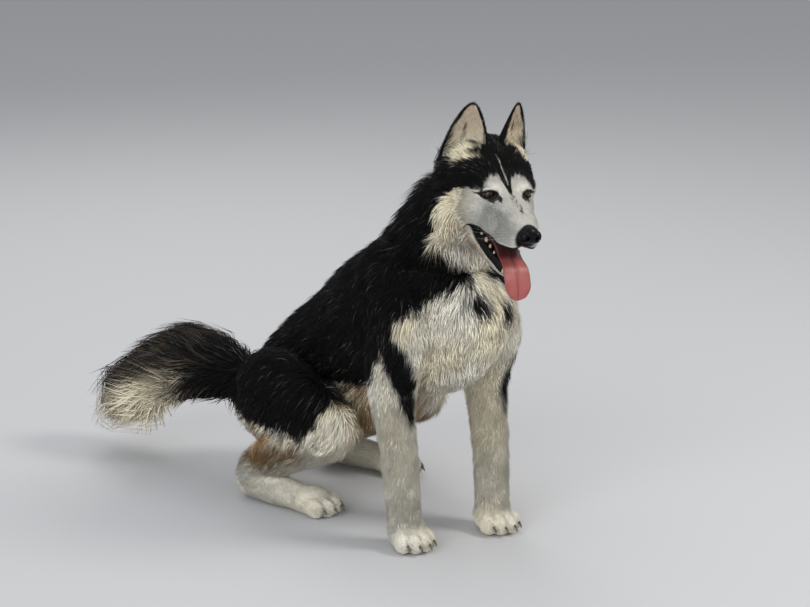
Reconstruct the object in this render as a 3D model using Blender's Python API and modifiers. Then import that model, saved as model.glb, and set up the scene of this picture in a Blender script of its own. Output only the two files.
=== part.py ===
"""A sitting Siberian husky at life size, as a still museum model.

The trunk and legs are designed straight, along +X with the floor at z = 0, and posed() then turns the rear
and the front a little aside, as in a dog that sits with its chest and head turned.  The head is designed in
its own frame, from the point between its eyes.  Lofts and balls are fused and smoothed as one animal, which
thin cuts part into named pieces.  Where the coat is long, flat locks of hair that bend along its lie are fused
to the pieces: on the cheeks, the neck, the chest, the rump, the thighs and all round the tail.
"""

import math
import random

import bmesh
import bpy
from mathutils import Matrix, Vector

# ---------------------------------------------------------------- driving dimensions (metres)
GAP = 0.0003                       # left between neighbouring pieces
BODY_VOXEL, BODY_FACES = 0.0060, 3900
HEAD_VOXEL, HEAD_FACES = 0.0030, 9200

REAR_TURN = math.radians(13)       # heading of the hips and tail
FRONT_TURN = math.radians(-12)     # heading of the chest and forelegs
BEND_FROM, BEND_TO = -0.46, -0.20  # the loin, where the trunk bends

HEAD_AT = Vector((0.1018, -0.0731, 0.6148))   # the point midway between the eyes
HEAD_YAW = math.radians(-20.2)
HEAD_PITCH = math.radians(14.6)               # nose down
HEAD_ROLL = math.radians(-4.5)

CLAW = 0.009                       # how far the claws stand out of the toes
EYE_RADIUS = 0.0108
EYE_AT = Vector((-0.0068, 0.0322, -0.0008))   # the left eye's centre
LID = 0.0020                                  # thickness of the lids
EAR_HEIGHT, EAR_WIDTH, EAR_WALL = 0.097, 0.072, 0.0034
EAR_FOOT = Vector((-0.084, 0.043, 0.020))     # the middle of the left ear's base
EAR_RISE = Vector((-0.10, -0.03, 1.0))        # the way to its tip
EAR_FACING = math.radians(30)                 # how far its opening turns outwards
EAR_CURL = (math.radians(78), math.radians(38))    # how far round it curls at the base and at the tip

# rows of a loft: x, y, z, half width, reach to the back (or a leg's front), reach to the belly (or its back)
TRUNK = [
    (-0.545, 0, 0.128, 0.056, 0.046, 0.066),
    (-0.505, 0, 0.160, 0.082, 0.072, 0.110),
    (-0.430, 0, 0.215, 0.098, 0.096, 0.135),
    (-0.330, 0, 0.288, 0.110, 0.104, 0.125),
    (-0.230, 0, 0.356, 0.124, 0.112, 0.142),
    (-0.140, 0, 0.392, 0.124, 0.112, 0.150),
    (-0.060, 0, 0.400, 0.104, 0.100, 0.140),
    (-0.010, 0, 0.392, 0.078, 0.080, 0.110),
]
NECK = [
    (-0.165, 0.000, 0.405, 0.106, 0.094, 0.118),
    (-0.112, 0.000, 0.470, 0.092, 0.088, 0.114),
    (-0.062, 0.004, 0.535, 0.080, 0.080, 0.098),
    (-0.018, 0.012, 0.590, 0.072, 0.062, 0.080),
]
BRISKET = [
    (-0.250, 0, 0.270, 0.060, 0.050, 0.050),
    (-0.120, 0, 0.295, 0.072, 0.060, 0.055),
    (-0.030, 0, 0.330, 0.070, 0.060, 0.050),
    (0.010, 0, 0.380, 0.060, 0.060, 0.050),
]
UPPER_ARM = [
    (-0.150, 0.070, 0.430, 0.048, 0.085, 0.070),
    (-0.070, 0.085, 0.365, 0.050, 0.066, 0.074),
    (-0.076, 0.092, 0.310, 0.046, 0.052, 0.066),
    (-0.090, 0.094, 0.260, 0.037, 0.043, 0.050),
]
FORELEG = [
    (-0.088, 0.094, 0.285, 0.037, 0.045, 0.050),
    (-0.080, 0.093, 0.225, 0.033, 0.039, 0.044),
    (-0.066, 0.091, 0.150, 0.031, 0.035, 0.037),
    (-0.060, 0.090, 0.090, 0.030, 0.033, 0.034),
    (-0.056, 0.088, 0.040, 0.030, 0.031, 0.030),
]
THIGH = [
    (-0.480, 0.070, 0.190, 0.056, 0.074, 0.084),
    (-0.420, 0.104, 0.185, 0.062, 0.092, 0.108),
    (-0.345, 0.130, 0.172, 0.056, 0.080, 0.084),
    (-0.290, 0.142, 0.160, 0.044, 0.054, 0.056),
]
SHANK = [
    (-0.285, 0.143, 0.155, 0.040, 0.045, 0.050),
    (-0.350, 0.138, 0.125, 0.038, 0.044, 0.054),
    (-0.420, 0.130, 0.088, 0.033, 0.036, 0.044),
    (-0.472, 0.125, 0.060, 0.028, 0.030, 0.034),
]
HIND_FOOT = [
    (-0.482, 0.124, 0.040, 0.027, 0.032, 0.038),
    (-0.430, 0.128, 0.031, 0.027, 0.028, 0.032),
    (-0.375, 0.132, 0.026, 0.028, 0.024, 0.028),
]
TAIL = [                            # the core inside the long hair
    (-0.530, 0.000, 0.150, 0.034, 0.034, 0.038),
    (-0.575, 0.000, 0.170, 0.032, 0.032, 0.036),
    (-0.630, 0.000, 0.190, 0.030, 0.030, 0.034),
    (-0.690, 0.000, 0.190, 0.028, 0.028, 0.032),
    (-0.745, -0.002, 0.170, 0.025, 0.025, 0.028),
    (-0.795, -0.006, 0.138, 0.020, 0.020, 0.021),
    (-0.832, -0.010, 0.104, 0.012, 0.012, 0.012),
]
CHEEKS = [(-0.010, 0, -0.045), (-0.110, 0, -0.045)]    # the axis that the cheeks' locks stand round

# tiers of locks round such an axis: share along it, how many, first and last angle (0 is the back, 90 the
# left, 180 the belly), length, how far the tips stand out
TAIL_LOCKS = [
    (0.10, 6, 0, 360, 0.085, 0.020),
    (0.23, 7, 0, 360, 0.100, 0.032),
    (0.36, 8, 0, 360, 0.115, 0.042),
    (0.49, 8, 0, 360, 0.120, 0.046),
    (0.62, 8, 0, 360, 0.120, 0.044),
    (0.74, 7, 0, 360, 0.115, 0.038),
    (0.85, 7, 0, 360, 0.105, 0.030),
    (0.95, 6, 0, 360, 0.095, 0.018),
]
NECK_LOCKS = [
    (0.44, 9, 0, 360, 0.100, 0.009),
    (0.64, 8, 0, 360, 0.100, 0.010),
    (0.86, 6, -100, 100, 0.090, 0.010),
]
CHEST_LOCKS = [(0.04, 3, 162, 198, 0.085, 0.008), (0.24, 4, 156, 204, 0.090, 0.009)]
CHEEK_LOCKS = [(0.58, 3, 95, 150, 0.046, 0.001), (0.90, 4, 85, 150, 0.056, 0.002)]
THIGH_LOCKS = [
    (0.04, 5, 75, 180, 0.100, 0.013),
    (0.26, 5, 85, 170, 0.090, 0.012),
    (0.50, 4, 90, 150, 0.070, 0.009),
]
RUMP_LOCKS = [(0.02, 6, 110, 250, 0.085, 0.010)]
LOCK_RINGS = [(0.0, 0.60), (0.32, 1.0), (0.66, 0.74)]    # share of its length, share of its greatest width
LOCK_WIDTH, TAIL_LOCK_WIDTH = 0.38, 0.26    # of its length, where it is widest
LOCK_THICKNESS = 0.16              # of its width
LOCK_SINK = 0.009                  # how deep its root goes in
LOCK_CLEARANCE = 0.0005            # between the locks and the nodes beside them
SPREAD = 0.22                      # how much locks vary

FORE_PAW = (-0.050, 0.086, 0.084)   # x, y, length
HIND_PAW = (-0.345, 0.132, 0.088)
PAD = (0.44, 0.034, 0.027)          # half length as a share of the paw's, half width, half height
TOES = [(0.26, -0.026), (0.40, -0.0095), (0.40, 0.0095), (0.26, 0.026)]    # share of its length ahead, aside
TOE_HEIGHT, TOE_SIZE = 0.016, (0.022, 0.0125, 0.019)
CLAW_ROOT, CLAW_TIP, CLAW_INSET = 0.0040, 0.0014, 0.018

# the head, from the point between the eyes: x to the nose, y to the left, z up
SKULL = [
    (-0.122, 0, -0.012, 0.056, 0.034, 0.060),
    (-0.098, 0, 0.002, 0.068, 0.052, 0.070),
    (-0.060, 0, 0.002, 0.069, 0.048, 0.066),
    (-0.030, 0, -0.004, 0.063, 0.034, 0.058),
    (-0.008, 0, -0.008, 0.050, 0.022, 0.056),
    (0.014, 0, -0.014, 0.037, 0.018, 0.055),
    (0.045, 0, -0.021, 0.031, 0.020, 0.046),
    (0.068, 0, -0.026, 0.027, 0.018, 0.038),
    (0.082, 0, -0.029, 0.022, 0.015, 0.030),
]
HEAD_BALLS = {          # centre and half sizes of what fills the head out, on each side
    "temple": ((-0.040, 0.034, -0.006), (0.040, 0.032, 0.034)),
    "cheek": ((-0.046, 0.036, -0.036), (0.058, 0.036, 0.042)),
    "muzzle root": ((-0.004, 0.026, -0.044), (0.046, 0.020, 0.028)),
    "ruff": ((-0.084, 0.048, -0.062), (0.056, 0.040, 0.060)),
    "brow": ((-0.012, 0.025, 0.008), (0.021, 0.019, 0.012)),
    "flew": ((0.048, 0.013, -0.046), (0.038, 0.018, 0.021)),
}
JAW = [
    (-0.085, 0, -0.068, 0.052, 0.030, 0.034),
    (-0.035, 0, -0.086, 0.044, 0.024, 0.026),
    (0.012, 0, -0.098, 0.033, 0.016, 0.020),
    (0.042, 0, -0.107, 0.024, 0.010, 0.016),
    (0.056, 0, -0.110, 0.018, 0.008, 0.013),
]
TONGUE = [
    (-0.030, 0, -0.084, 0.019, 0.006, 0.008),
    (0.010, 0, -0.088, 0.022, 0.006, 0.008),
    (0.045, 0, -0.093, 0.024, 0.005, 0.006),
    (0.068, 0, -0.098, 0.0245, 0.0045, 0.0045),
    (0.082, 0, -0.112, 0.025, 0.004, 0.004),
    (0.093, 0, -0.130, 0.024, 0.004, 0.004),
    (0.101, 0, -0.148, 0.018, 0.0035, 0.0035),
]
MOUTH_TOP = [(-0.022, -0.066), (0.018, -0.070), (0.058, -0.065), (0.088, -0.057), (0.130, -0.048)]
MOUTH_BOTTOM = [(-0.022, -0.066), (0.014, -0.087), (0.040, -0.099), (0.060, -0.106), (0.130, -0.140)]
MOUTH_REACH = 0.12                 # how far the cut of the mouth goes to each side
MOUTH_HOLLOWS = [    # centre and half sizes: the palate, the throat and the trough of the jaw
    ((0.020, 0, -0.068), (0.056, 0.019, 0.010)),
    ((-0.030, 0, -0.074), (0.034, 0.021, 0.014)),
    ((0.016, 0, -0.092), (0.040, 0.018, 0.009)),
]
# lips: where the muzzle is cut across, the way from there to the lip (90 degrees is sideways), and the height
UPPER_LIP = [(-0.014, 90, -0.0655), (0.002, 90, -0.0675), (0.018, 90, -0.069), (0.040, 90, -0.067),
             (0.056, 84, -0.064), (0.062, 55, -0.061), (0.064, 25, -0.0575), (0.064, 0, -0.0565)]
LOWER_LIP = [(-0.006, 90, -0.0775), (0.008, 90, -0.086), (0.024, 90, -0.094), (0.036, 75, -0.0995),
             (0.040, 45, -0.102), (0.040, 15, -0.1035), (0.040, 0, -0.104)]
UPPER_LIP_BEAD, LOWER_LIP_BEAD = 0.0028, 0.0034    # radii
NOSE = ((0.090, 0, -0.030), (0.0135, 0.0195, 0.0165))
NOSTRIL = ((0.1005, 0.0085, -0.031), (0.0060, 0.0036, 0.0042))
NOSTRIL_SLIT = ((0.0950, 0.0150, -0.0345), (0.0055, 0.0060, 0.0014))
# teeth: x, y, z of the root, radius, height; the upper ones hang
UPPER_TEETH = [(0.068, 0.0145, -0.058, 0.0032, 0.008), (0.046, 0.0205, -0.063, 0.0032, 0.004),
               (0.030, 0.0235, -0.065, 0.0040, 0.005), (0.013, 0.0255, -0.066, 0.0044, 0.005)]
LOWER_TEETH = [(0.050, 0.0175, -0.104, 0.0028, 0.008), (0.034, 0.0205, -0.098, 0.0028, 0.005),
               (0.018, 0.0230, -0.090, 0.0034, 0.005)]
GAZE = math.radians(14)            # how far each eye looks outwards
EYE_SLIT = (0.0118, 0.0052)        # half the length and height of the opening of the lids
EYE_SLANT = math.radians(12)       # its outer corner is higher

# what each cut parts off: the low and high corners of a box in its frame, and how far it leans (degrees)
HEAD_BOX = ((-0.036, -0.20, -0.175), (0.300, 0.20, 0.250), -22.3)
JAW_BOX = ((-0.0533, -0.10, -0.1396), (0.100, 0.10, -0.0596), 23.0)
NECK_BOX = ((-0.270, -0.30, 0.552), (0.300, 0.30, 0.900), 24.8)
FORELEG_BOX = ((-0.200, 0.040, -0.050), (0.100, 0.240, 0.245), 0.0)
THIGH_BOX = ((-0.660, 0.080, -0.050), (-0.235, 0.300, 0.310), 14.0)
HIND_LEG_BOX = ((-0.526, 0.020, -0.272), (-0.026, 0.350, 0.028), -25.0)
FLOOR_BOX = ((-2.0, -1.0, -0.5), (1.0, 1.0, 0.0), 0.0)
BODY_SMOOTHING, HEAD_SMOOTHING = 14, 16    # passes over the creases between the fused forms


# ---------------------------------------------------------------- the pose
def heading(x):
    """Heading of the trunk at x, which passes smoothly from the rear's to the front's."""
    t = min(max((x - BEND_FROM) / (BEND_TO - BEND_FROM), 0.0), 1.0)
    return REAR_TURN + (FRONT_TURN - REAR_TURN) * t * t * (3 - 2 * t)


def ahead(turn):
    return Vector((math.cos(turn), math.sin(turn), 0))


def midline(x):
    """Where the straight design's point (x, 0) goes when the trunk bends."""
    at = Vector((BEND_FROM + 0.012, -0.018, 0))
    if x <= BEND_FROM:
        return at + (x - BEND_FROM) * ahead(REAR_TURN)
    end, steps = min(x, BEND_TO), 40
    for i in range(steps):
        at += ahead(heading(BEND_FROM + (end - BEND_FROM) * (i + 0.5) / steps)) * (end - BEND_FROM) / steps
    return at + max(x - BEND_TO, 0) * ahead(FRONT_TURN)


def posed(x, y, z, hold=None):
    """(place, the way to the left) of a design point; hold "rear" or "front" turns it stiffly with that end."""
    end = {"rear": (BEND_FROM, REAR_TURN), "front": (BEND_TO, FRONT_TURN)}.get(hold)
    if end:
        base, turn = midline(end[0]) + (x - end[0]) * ahead(end[1]), end[1]
    else:
        base, turn = midline(x), heading(x)
    left = ahead(turn + math.pi / 2)
    return base + left * y + Vector((0, 0, z)), left


HEAD = (
    Matrix.Translation(HEAD_AT)
    @ Matrix.Rotation(HEAD_YAW, 4, "Z")
    @ Matrix.Rotation(HEAD_PITCH, 4, "Y")
    @ Matrix.Rotation(HEAD_ROLL, 4, "X")
)


def in_head(x, y, z, hold=None):
    """(place, the way to the left) of a point of the head's own frame."""
    return HEAD @ Vector((x, y, z)), HEAD.to_3x3() @ Vector((0, 1, 0))


def mirrored(rows):
    return [(r[0], -r[1], *r[2:]) for r in rows]


# ---------------------------------------------------------------- modelling tools
def smooth_rows(rows, per_span):
    """Rows read from a smooth curve through the given rows."""
    out = []
    for i in range(len(rows) - 1):
        four = (rows[max(i - 1, 0)], rows[i], rows[i + 1], rows[min(i + 2, len(rows) - 1)])
        for k in range(per_span):
            t = k / per_span
            out.append([
                b + (c - a) * t / 2 + (2 * a - 5 * b + 4 * c - d) * t ** 2 / 2 + (3 * b - a - 3 * c + d) * t ** 3 / 2
                for a, b, c, d in zip(*four)
            ])
    return out + [list(rows[-1])]


def squared(value, power):
    return math.copysign(abs(value) ** power, value)


def loft(rows, place=posed, hold=None, sides=20, per_span=3, cap=0.8, power=1.0, grow=0.0):
    """A closed, round-ended form along rows; a power under 1 squares its section, grow thickens it."""
    rows = smooth_rows(rows, per_span)
    spots = [place(*r[:3], hold) for r in rows]
    rings = []
    for i, (r, (at, left)) in enumerate(zip(rows, spots)):
        along = (spots[min(i + 1, len(rows) - 1)][0] - spots[max(i - 1, 0)][0]).normalized()
        left = (left - along * left.dot(along)).normalized()
        rings.append((at, along, left, along.cross(left), *(size + grow for size in r[3:])))
    ends = []
    for ring, way in ((rings[0], -1), (rings[-1], 1)):
        at, along, left, up, *sizes = ring
        reach = cap * sum(sizes) / 3
        ends.append([
            (at + along * way * reach * math.sin(a), along, left, up, *(s * math.cos(a) for s in sizes))
            for a in (math.radians(30), math.radians(58), math.radians(80))
        ])
    bm = bmesh.new()
    loops = []
    for at, along, left, up, wide, over, under in ends[0][::-1] + rings + ends[1]:
        loop = []
        for j in range(sides):
            a = 2 * math.pi * j / sides
            reach = over if math.sin(a) > 0 else under
            across, height = squared(math.cos(a), power), squared(math.sin(a), power)
            loop.append(bm.verts.new(at + left * wide * across + up * reach * height))
        loops.append([bm.edges.new((loop[j - 1], loop[j])) for j in range(sides)])
    for low, high in zip(loops, loops[1:]):
        bmesh.ops.bridge_loops(bm, edges=low + high)
    bmesh.ops.holes_fill(bm, edges=bm.edges, sides=sides)
    bmesh.ops.recalc_face_normals(bm, faces=bm.faces)
    return bm


def ball(place, at, radii, hold=None, sides=20, tilt=0.0):
    """An ellipsoid with half sizes radii, tilted nose down by tilt."""
    bm = bmesh.new()
    bmesh.ops.create_uvsphere(bm, u_segments=sides, v_segments=sides // 2, radius=1.0)
    centre, left = place(*at, hold)
    forward = place(at[0] + 0.001, at[1], at[2], hold)[0] - centre
    forward = (forward - left * forward.dot(left)).normalized()
    turn = Matrix((forward, left, forward.cross(left))).transposed().to_4x4()
    turn = Matrix.Translation(centre) @ turn @ Matrix.Rotation(tilt, 4, "Y")
    bmesh.ops.transform(bm, matrix=turn @ Matrix.Diagonal((*radii, 1)), verts=bm.verts)
    return bm


def collection(name, hidden=False):
    made = bpy.data.collections.new(name)
    bpy.context.scene.collection.children.link(made)
    made.hide_render = hidden
    return made


def to_object(name, bm, where):
    mesh = bpy.data.meshes.new(name)
    bm.to_mesh(mesh)
    bm.free()
    obj = bpy.data.objects.new(name, mesh)
    where.objects.link(obj)
    return obj


def join(name, forms, where):
    """Several bmeshes in one object, still overlapping."""
    whole = bmesh.new()
    for form in forms:
        mesh = bpy.data.meshes.new("form")
        form.to_mesh(mesh)
        form.free()
        whole.from_mesh(mesh)
        bpy.data.meshes.remove(mesh)
    return to_object(name, whole, where)


def copy_of(obj, name, where):
    made = bpy.data.objects.new(name, obj.data.copy())
    where.objects.link(made)
    return made


def bake_modifiers(obj):
    """Applies all modifiers of obj to its mesh."""
    graph = bpy.context.evaluated_depsgraph_get()
    mesh = bpy.data.meshes.new_from_object(obj.evaluated_get(graph))
    obj.modifiers.clear()
    old, obj.data = obj.data, mesh
    bpy.data.meshes.remove(old)
    return obj


def fuse(obj, voxel, passes, faces):
    """Overlapping forms made one skin: remeshed, its creases smoothed, then reduced to about so many faces."""
    remesh = obj.modifiers.new("fuse", "REMESH")
    remesh.mode = "VOXEL"
    remesh.voxel_size = voxel
    smooth = obj.modifiers.new("soften", "SMOOTH")
    smooth.factor, smooth.iterations = 0.5, passes
    bake_modifiers(obj)
    fewer = obj.modifiers.new("fewer", "DECIMATE")
    fewer.ratio = faces / (2 * len(obj.data.polygons))
    return bake_modifiers(obj)


def boolean(obj, other, operation, solver="EXACT"):
    """obj joined to, cut by or kept within other, which stays."""
    change = obj.modifiers.new(operation.lower(), "BOOLEAN")
    change.operation, change.solver, change.object = operation, solver, other
    return bake_modifiers(obj)


def largest(obj):
    """Keeps only the largest closed surface of obj."""
    bm = bmesh.new()
    bm.from_mesh(obj.data)
    left, shells = set(bm.verts), []
    while left:
        shell, front = set(), [left.pop()]
        while front:
            vert = front.pop()
            shell.add(vert)
            near = {e.other_vert(vert) for e in vert.link_edges} & left
            left -= near
            front.extend(near)
        shells.append(shell)
    keep = max(shells, key=len)
    bmesh.ops.delete(bm, geom=[v for v in bm.verts if v not in keep], context="VERTS")
    bm.to_mesh(obj.data)
    bm.free()
    return obj


def box(name, where, low, high, lean, place=posed, hold=None, grow=0.0):
    """A cutter: the box from low to high of a frame, its top leaned forwards about its bottom rear edge."""
    bm = bmesh.new()
    bmesh.ops.create_cube(bm, size=1.0)
    size = Vector(high) - Vector(low) + Vector((2 * grow,) * 3)
    middle = (Vector(high) + Vector(low)) / 2
    pivot = Vector((low[0], middle.y, low[2]))
    centre, left = place(*pivot, hold)
    forward = place(pivot.x + 0.001, pivot.y, pivot.z, hold)[0] - centre
    forward = (forward - left * forward.dot(left)).normalized()
    turn = Matrix.Translation(centre) @ Matrix((forward, left, forward.cross(left))).transposed().to_4x4()
    turn = turn @ Matrix.Rotation(math.radians(lean), 4, "Y") @ Matrix.Translation(middle - pivot)
    bmesh.ops.transform(bm, matrix=turn @ Matrix.Diagonal((*size, 1)), verts=bm.verts)
    return as_cutter(to_object(name, bm, where))


def part_off(obj, name, region, shown, cutters, **frame):
    """A new node from what of obj lies in a leaned box; obj keeps the rest, a thin cut away."""
    inside = box(name + "_cut", cutters, *region, **frame)
    piece = boolean(copy_of(obj, name, shown), inside, "INTERSECT")
    around = box(name + "_gap", cutters, *region, grow=GAP, **frame)
    boolean(obj, around, "DIFFERENCE")
    return largest(piece)


def on_side(region, way):
    """A leaned box of the left side, or its mirror image on the right."""
    low, high, lean = region
    ends = sorted((way * low[1], way * high[1]))
    return (low[0], ends[0], low[2]), (high[0], ends[1], high[2]), lean


# ---------------------------------------------------------------- the forms
def paw_forms(x, y, length, hold):
    """A paw: a low rounded pad with four toes in front."""
    share, wide, tall = PAD
    forms = [ball(posed, (x, y, tall * 0.8), (length * share, wide, tall), hold)]
    forms += [ball(posed, toe, TOE_SIZE, hold) for toe in toes(x, y, length)]
    return forms


def toes(x, y, length):
    """The places of a paw's four toes: x, y and z."""
    for share, aside in TOES:
        yield x + length * share, y + aside, TOE_HEIGHT


def claw_forms(x, y, length, hold):
    """A blunt cone out of the front of each toe."""
    forms = []
    for tx, ty, tz in toes(x, y, length):
        bm = bmesh.new()
        sizes = {"radius1": CLAW_ROOT, "radius2": CLAW_TIP, "depth": CLAW * 2}
        bmesh.ops.create_cone(bm, cap_ends=True, segments=5, **sizes)
        base, left = posed(tx + CLAW_INSET, ty, tz - 0.003, hold)
        forward = (posed(tx + CLAW_INSET + 0.010, ty, tz - 0.006, hold)[0] - base).normalized()
        left = (left - forward * left.dot(forward)).normalized()
        turn = Matrix((left, forward.cross(left), forward)).transposed().to_4x4()
        bmesh.ops.transform(bm, matrix=Matrix.Translation(base) @ turn, verts=bm.verts)
        forms.append(bm)
    return forms


def body_forms():
    forms = [loft(TRUNK, sides=28), loft(NECK, sides=24), loft(BRISKET, hold="front")]
    for sided, way in ((list, 1), (mirrored, -1)):
        forms += [loft(sided(rows), hold="front") for rows in (UPPER_ARM, FORELEG)]
        forms += [loft(sided(rows), hold="rear") for rows in (THIGH, SHANK, HIND_FOOT)]
        forms += paw_forms(FORE_PAW[0], way * FORE_PAW[1], FORE_PAW[2], "front")
        forms += paw_forms(HIND_PAW[0], way * HIND_PAW[1], HIND_PAW[2], "rear")
    return forms


def head_forms():
    forms = [loft(SKULL, place=in_head, cap=0.5, power=0.85)]
    forms.append(loft(JAW, place=in_head, cap=0.6, power=0.85))
    for way in (-1, 1):
        for at, radii in HEAD_BALLS.values():
            forms.append(ball(in_head, (at[0], way * at[1], at[2]), radii))
    return forms


def lock(root, out, lie, length, width, lift):
    """A flat, ridged lock of hair from a root sunk in the body along lie, its tip lifted outwards."""
    side = lie.cross(out).normalized()
    bm = bmesh.new()
    loops = []
    for share, broad in LOCK_RINGS:
        rise = -LOCK_SINK + (lift + LOCK_SINK) * math.sin(math.pi / 2 * share ** 0.7)
        at = root + lie * length * (share - 0.15) + out * rise
        tall = LOCK_THICKNESS * width * (1 - 0.5 * share)
        corners = (side * width / 2 * broad, out * tall, -side * width / 2 * broad)
        loop = [bm.verts.new(at + corner) for corner in corners]
        loops.append([bm.edges.new((loop[j - 1], loop[j])) for j in range(3)])
    for low, high in zip(loops, loops[1:]):
        bmesh.ops.bridge_loops(bm, edges=low + high)
    bmesh.ops.holes_fill(bm, edges=loops[0], sides=3)
    tip = bm.verts.new(root + lie * length * 0.85 + out * lift)
    for edge in loops[-1]:
        bm.faces.new((*edge.verts, tip))
    bmesh.ops.recalc_face_normals(bm, faces=bm.faces)
    return bm


def locks_round(obj, rows, tiers, draw, place=posed, hold=None, way=1, onward=1.0, droop=0.0, wide=LOCK_WIDTH):
    """Tiers of locks on obj round rows: laid along them by onward, down by droop, mirrored if way is -1."""
    path = smooth_rows(rows, 6)
    made = []
    for tier, (share, count, first, last, length, lift) in enumerate(tiers):
        k = share * (len(path) - 1)
        low = min(int(k), len(path) - 2)
        (a, left), (b, _) = place(*path[low][:3], hold), place(*path[low + 1][:3], hold)
        centre, along = a.lerp(b, k - low), (b - a).normalized()
        left = (left - along * left.dot(along)).normalized()
        up = along.cross(left) if along.cross(left).z > 0 else left.cross(along)
        whole = last - first >= 360
        for i in range(count):
            step = (last - first) / (count if whole else count - 1)
            turn = first + step * (i + (0.5 * (tier % 2) if whole else 0) + draw.uniform(-0.2, 0.2))
            out = up * math.cos(math.radians(turn)) + left * way * math.sin(math.radians(turn))
            start = centre + along * draw.uniform(-0.01, 0.01) + out * 0.3
            found, spot, normal, _ = obj.ray_cast(start, -out)
            size = length * (1 + draw.uniform(-SPREAD, SPREAD))
            stand = lift * (1 + draw.uniform(-SPREAD, SPREAD))
            lie = along * onward + Vector((0, 0, -droop)) + left * draw.uniform(-0.15, 0.15)
            if found and (spot - centre).length < 0.2:
                lie = (lie - normal * lie.dot(normal)).normalized()
                made.append(lock(spot, normal, lie, size, size * wide, stand))
    return made


def outline_cutter(name, where, top, bottom, reach):
    """A cutter between two lines of (x, z) of the head, right across it."""
    bm = bmesh.new()
    top, bottom = smooth_rows(top, 4), smooth_rows(bottom, 4)
    line = [bm.verts.new(in_head(x, -reach, z)[0]) for x, z in top + bottom[:0:-1]]
    face = bm.faces.new(line)
    moved = bmesh.ops.extrude_face_region(bm, geom=[face])["geom"]
    across = in_head(0, 2 * reach, 0)[0] - in_head(0, 0, 0)[0]
    bmesh.ops.translate(bm, vec=across, verts=[v for v in moved if isinstance(v, bmesh.types.BMVert)])
    bmesh.ops.recalc_face_normals(bm, faces=bm.faces)
    return as_cutter(to_object(name, bm, where))


def as_cutter(obj):
    obj.hide_render, obj.display_type = True, "WIRE"
    return obj


def ear_forms(way):
    """A cupped ear: crescents that narrow from the base to the tip, open forwards and outwards."""
    sided = Vector((1, way, 1))
    foot, rise = EAR_FOOT * sided, (EAR_RISE * sided).normalized()
    facing = Vector((math.cos(EAR_FACING), way * math.sin(EAR_FACING), 0))
    facing = (facing - rise * facing.dot(rise)).normalized()
    across = rise.cross(facing)
    bm = bmesh.new()
    loops, steps, arc = [], 9, 7
    for i in range(steps + 1):
        t = i / steps
        t = 1 - (1 - t) ** 1.5
        wide = EAR_WIDTH / 2 * (1 - t) ** 0.75 * (1 + 0.35 * t) + 0.0022
        bend = EAR_CURL[0] + (EAR_CURL[1] - EAR_CURL[0]) * t
        radius = wide / math.sin(bend)
        wall = EAR_WALL * (1 - 0.45 * t)
        middle = foot + rise * EAR_HEIGHT * t
        loop = []
        for side, size in ((1, radius), (-1, radius - wall)):
            for j in range(arc + 1):
                a = side * bend * (2 * j / arc - 1)
                out = facing * (radius * math.cos(bend) - size * math.cos(a)) + across * size * math.sin(a)
                loop.append(bm.verts.new(in_head(*(middle + out))[0]))
        loops.append([bm.edges.new((loop[j - 1], loop[j])) for j in range(len(loop))])
    for low, high in zip(loops, loops[1:]):
        bmesh.ops.bridge_loops(bm, edges=low + high)
    bmesh.ops.holes_fill(bm, edges=bm.edges, sides=2 * arc + 2)
    bmesh.ops.triangulate(bm, faces=bm.faces)
    bmesh.ops.recalc_face_normals(bm, faces=bm.faces)
    return bm


def inflated(obj, name, where, by=GAP):
    """A cutter: obj grown by a little, to cut what meets it."""
    made = copy_of(obj, name, where)
    grow = made.modifiers.new("grow", "DISPLACE")
    grow.strength, grow.mid_level = by, 0.0
    return as_cutter(bake_modifiers(made))


def tube(name, points, radius, where):
    """A round bead along points, its ends closed."""
    curve = bpy.data.curves.new(name, "CURVE")
    curve.dimensions, curve.use_fill_caps = "3D", True
    curve.bevel_depth, curve.bevel_resolution = radius, 0
    line = curve.splines.new("POLY")
    line.points.add(len(points) - 1)
    for spot, place in zip(line.points, points):
        spot.co = (*place, 1)
    guide = bpy.data.objects.new(name + "_curve", curve)
    where.objects.link(guide)
    bm = bmesh.new()
    graph = bpy.context.evaluated_depsgraph_get()
    bm.from_mesh(bpy.data.meshes.new_from_object(guide.evaluated_get(graph)))
    bmesh.ops.remove_doubles(bm, verts=bm.verts, dist=1e-6)
    bpy.data.objects.remove(guide)
    return bm


def on_muzzle(obj, x, angle, z):
    """The surface point of obj that is seen from outside along the head's level line at this angle."""
    out = Vector((math.cos(math.radians(angle)), math.sin(math.radians(angle)), 0)) * 0.2
    start, inward = HEAD @ (Vector((x, 0, z)) + out), HEAD.to_3x3() @ -out.normalized()
    found, spot, _, _ = obj.ray_cast(start, inward)
    return spot if found else HEAD @ Vector((x, 0, z))


def lip(name, obj, line, radius, where):
    """The bead of a lip on obj, from one corner of the mouth round to the other."""
    around = line + [(x, -angle, z) for x, angle, z in line[-2::-1]]
    return tube(name, [on_muzzle(obj, *p) for p in around], radius, where)


def tooth(x, y, z, radius, height, hangs):
    bm = bmesh.new()
    root = 0.005
    sizes = {"radius1": radius, "radius2": radius * 0.25, "depth": height + root}
    bmesh.ops.create_cone(bm, cap_ends=True, segments=5, **sizes)
    way = -1 if hangs else 1
    turn = Matrix.Rotation(math.pi, 4, "X") if hangs else Matrix.Identity(4)
    middle = Matrix.Translation((x, y, z + way * (height - root) / 2))
    bmesh.ops.transform(bm, matrix=HEAD @ middle @ turn, verts=bm.verts)
    return bm


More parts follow.
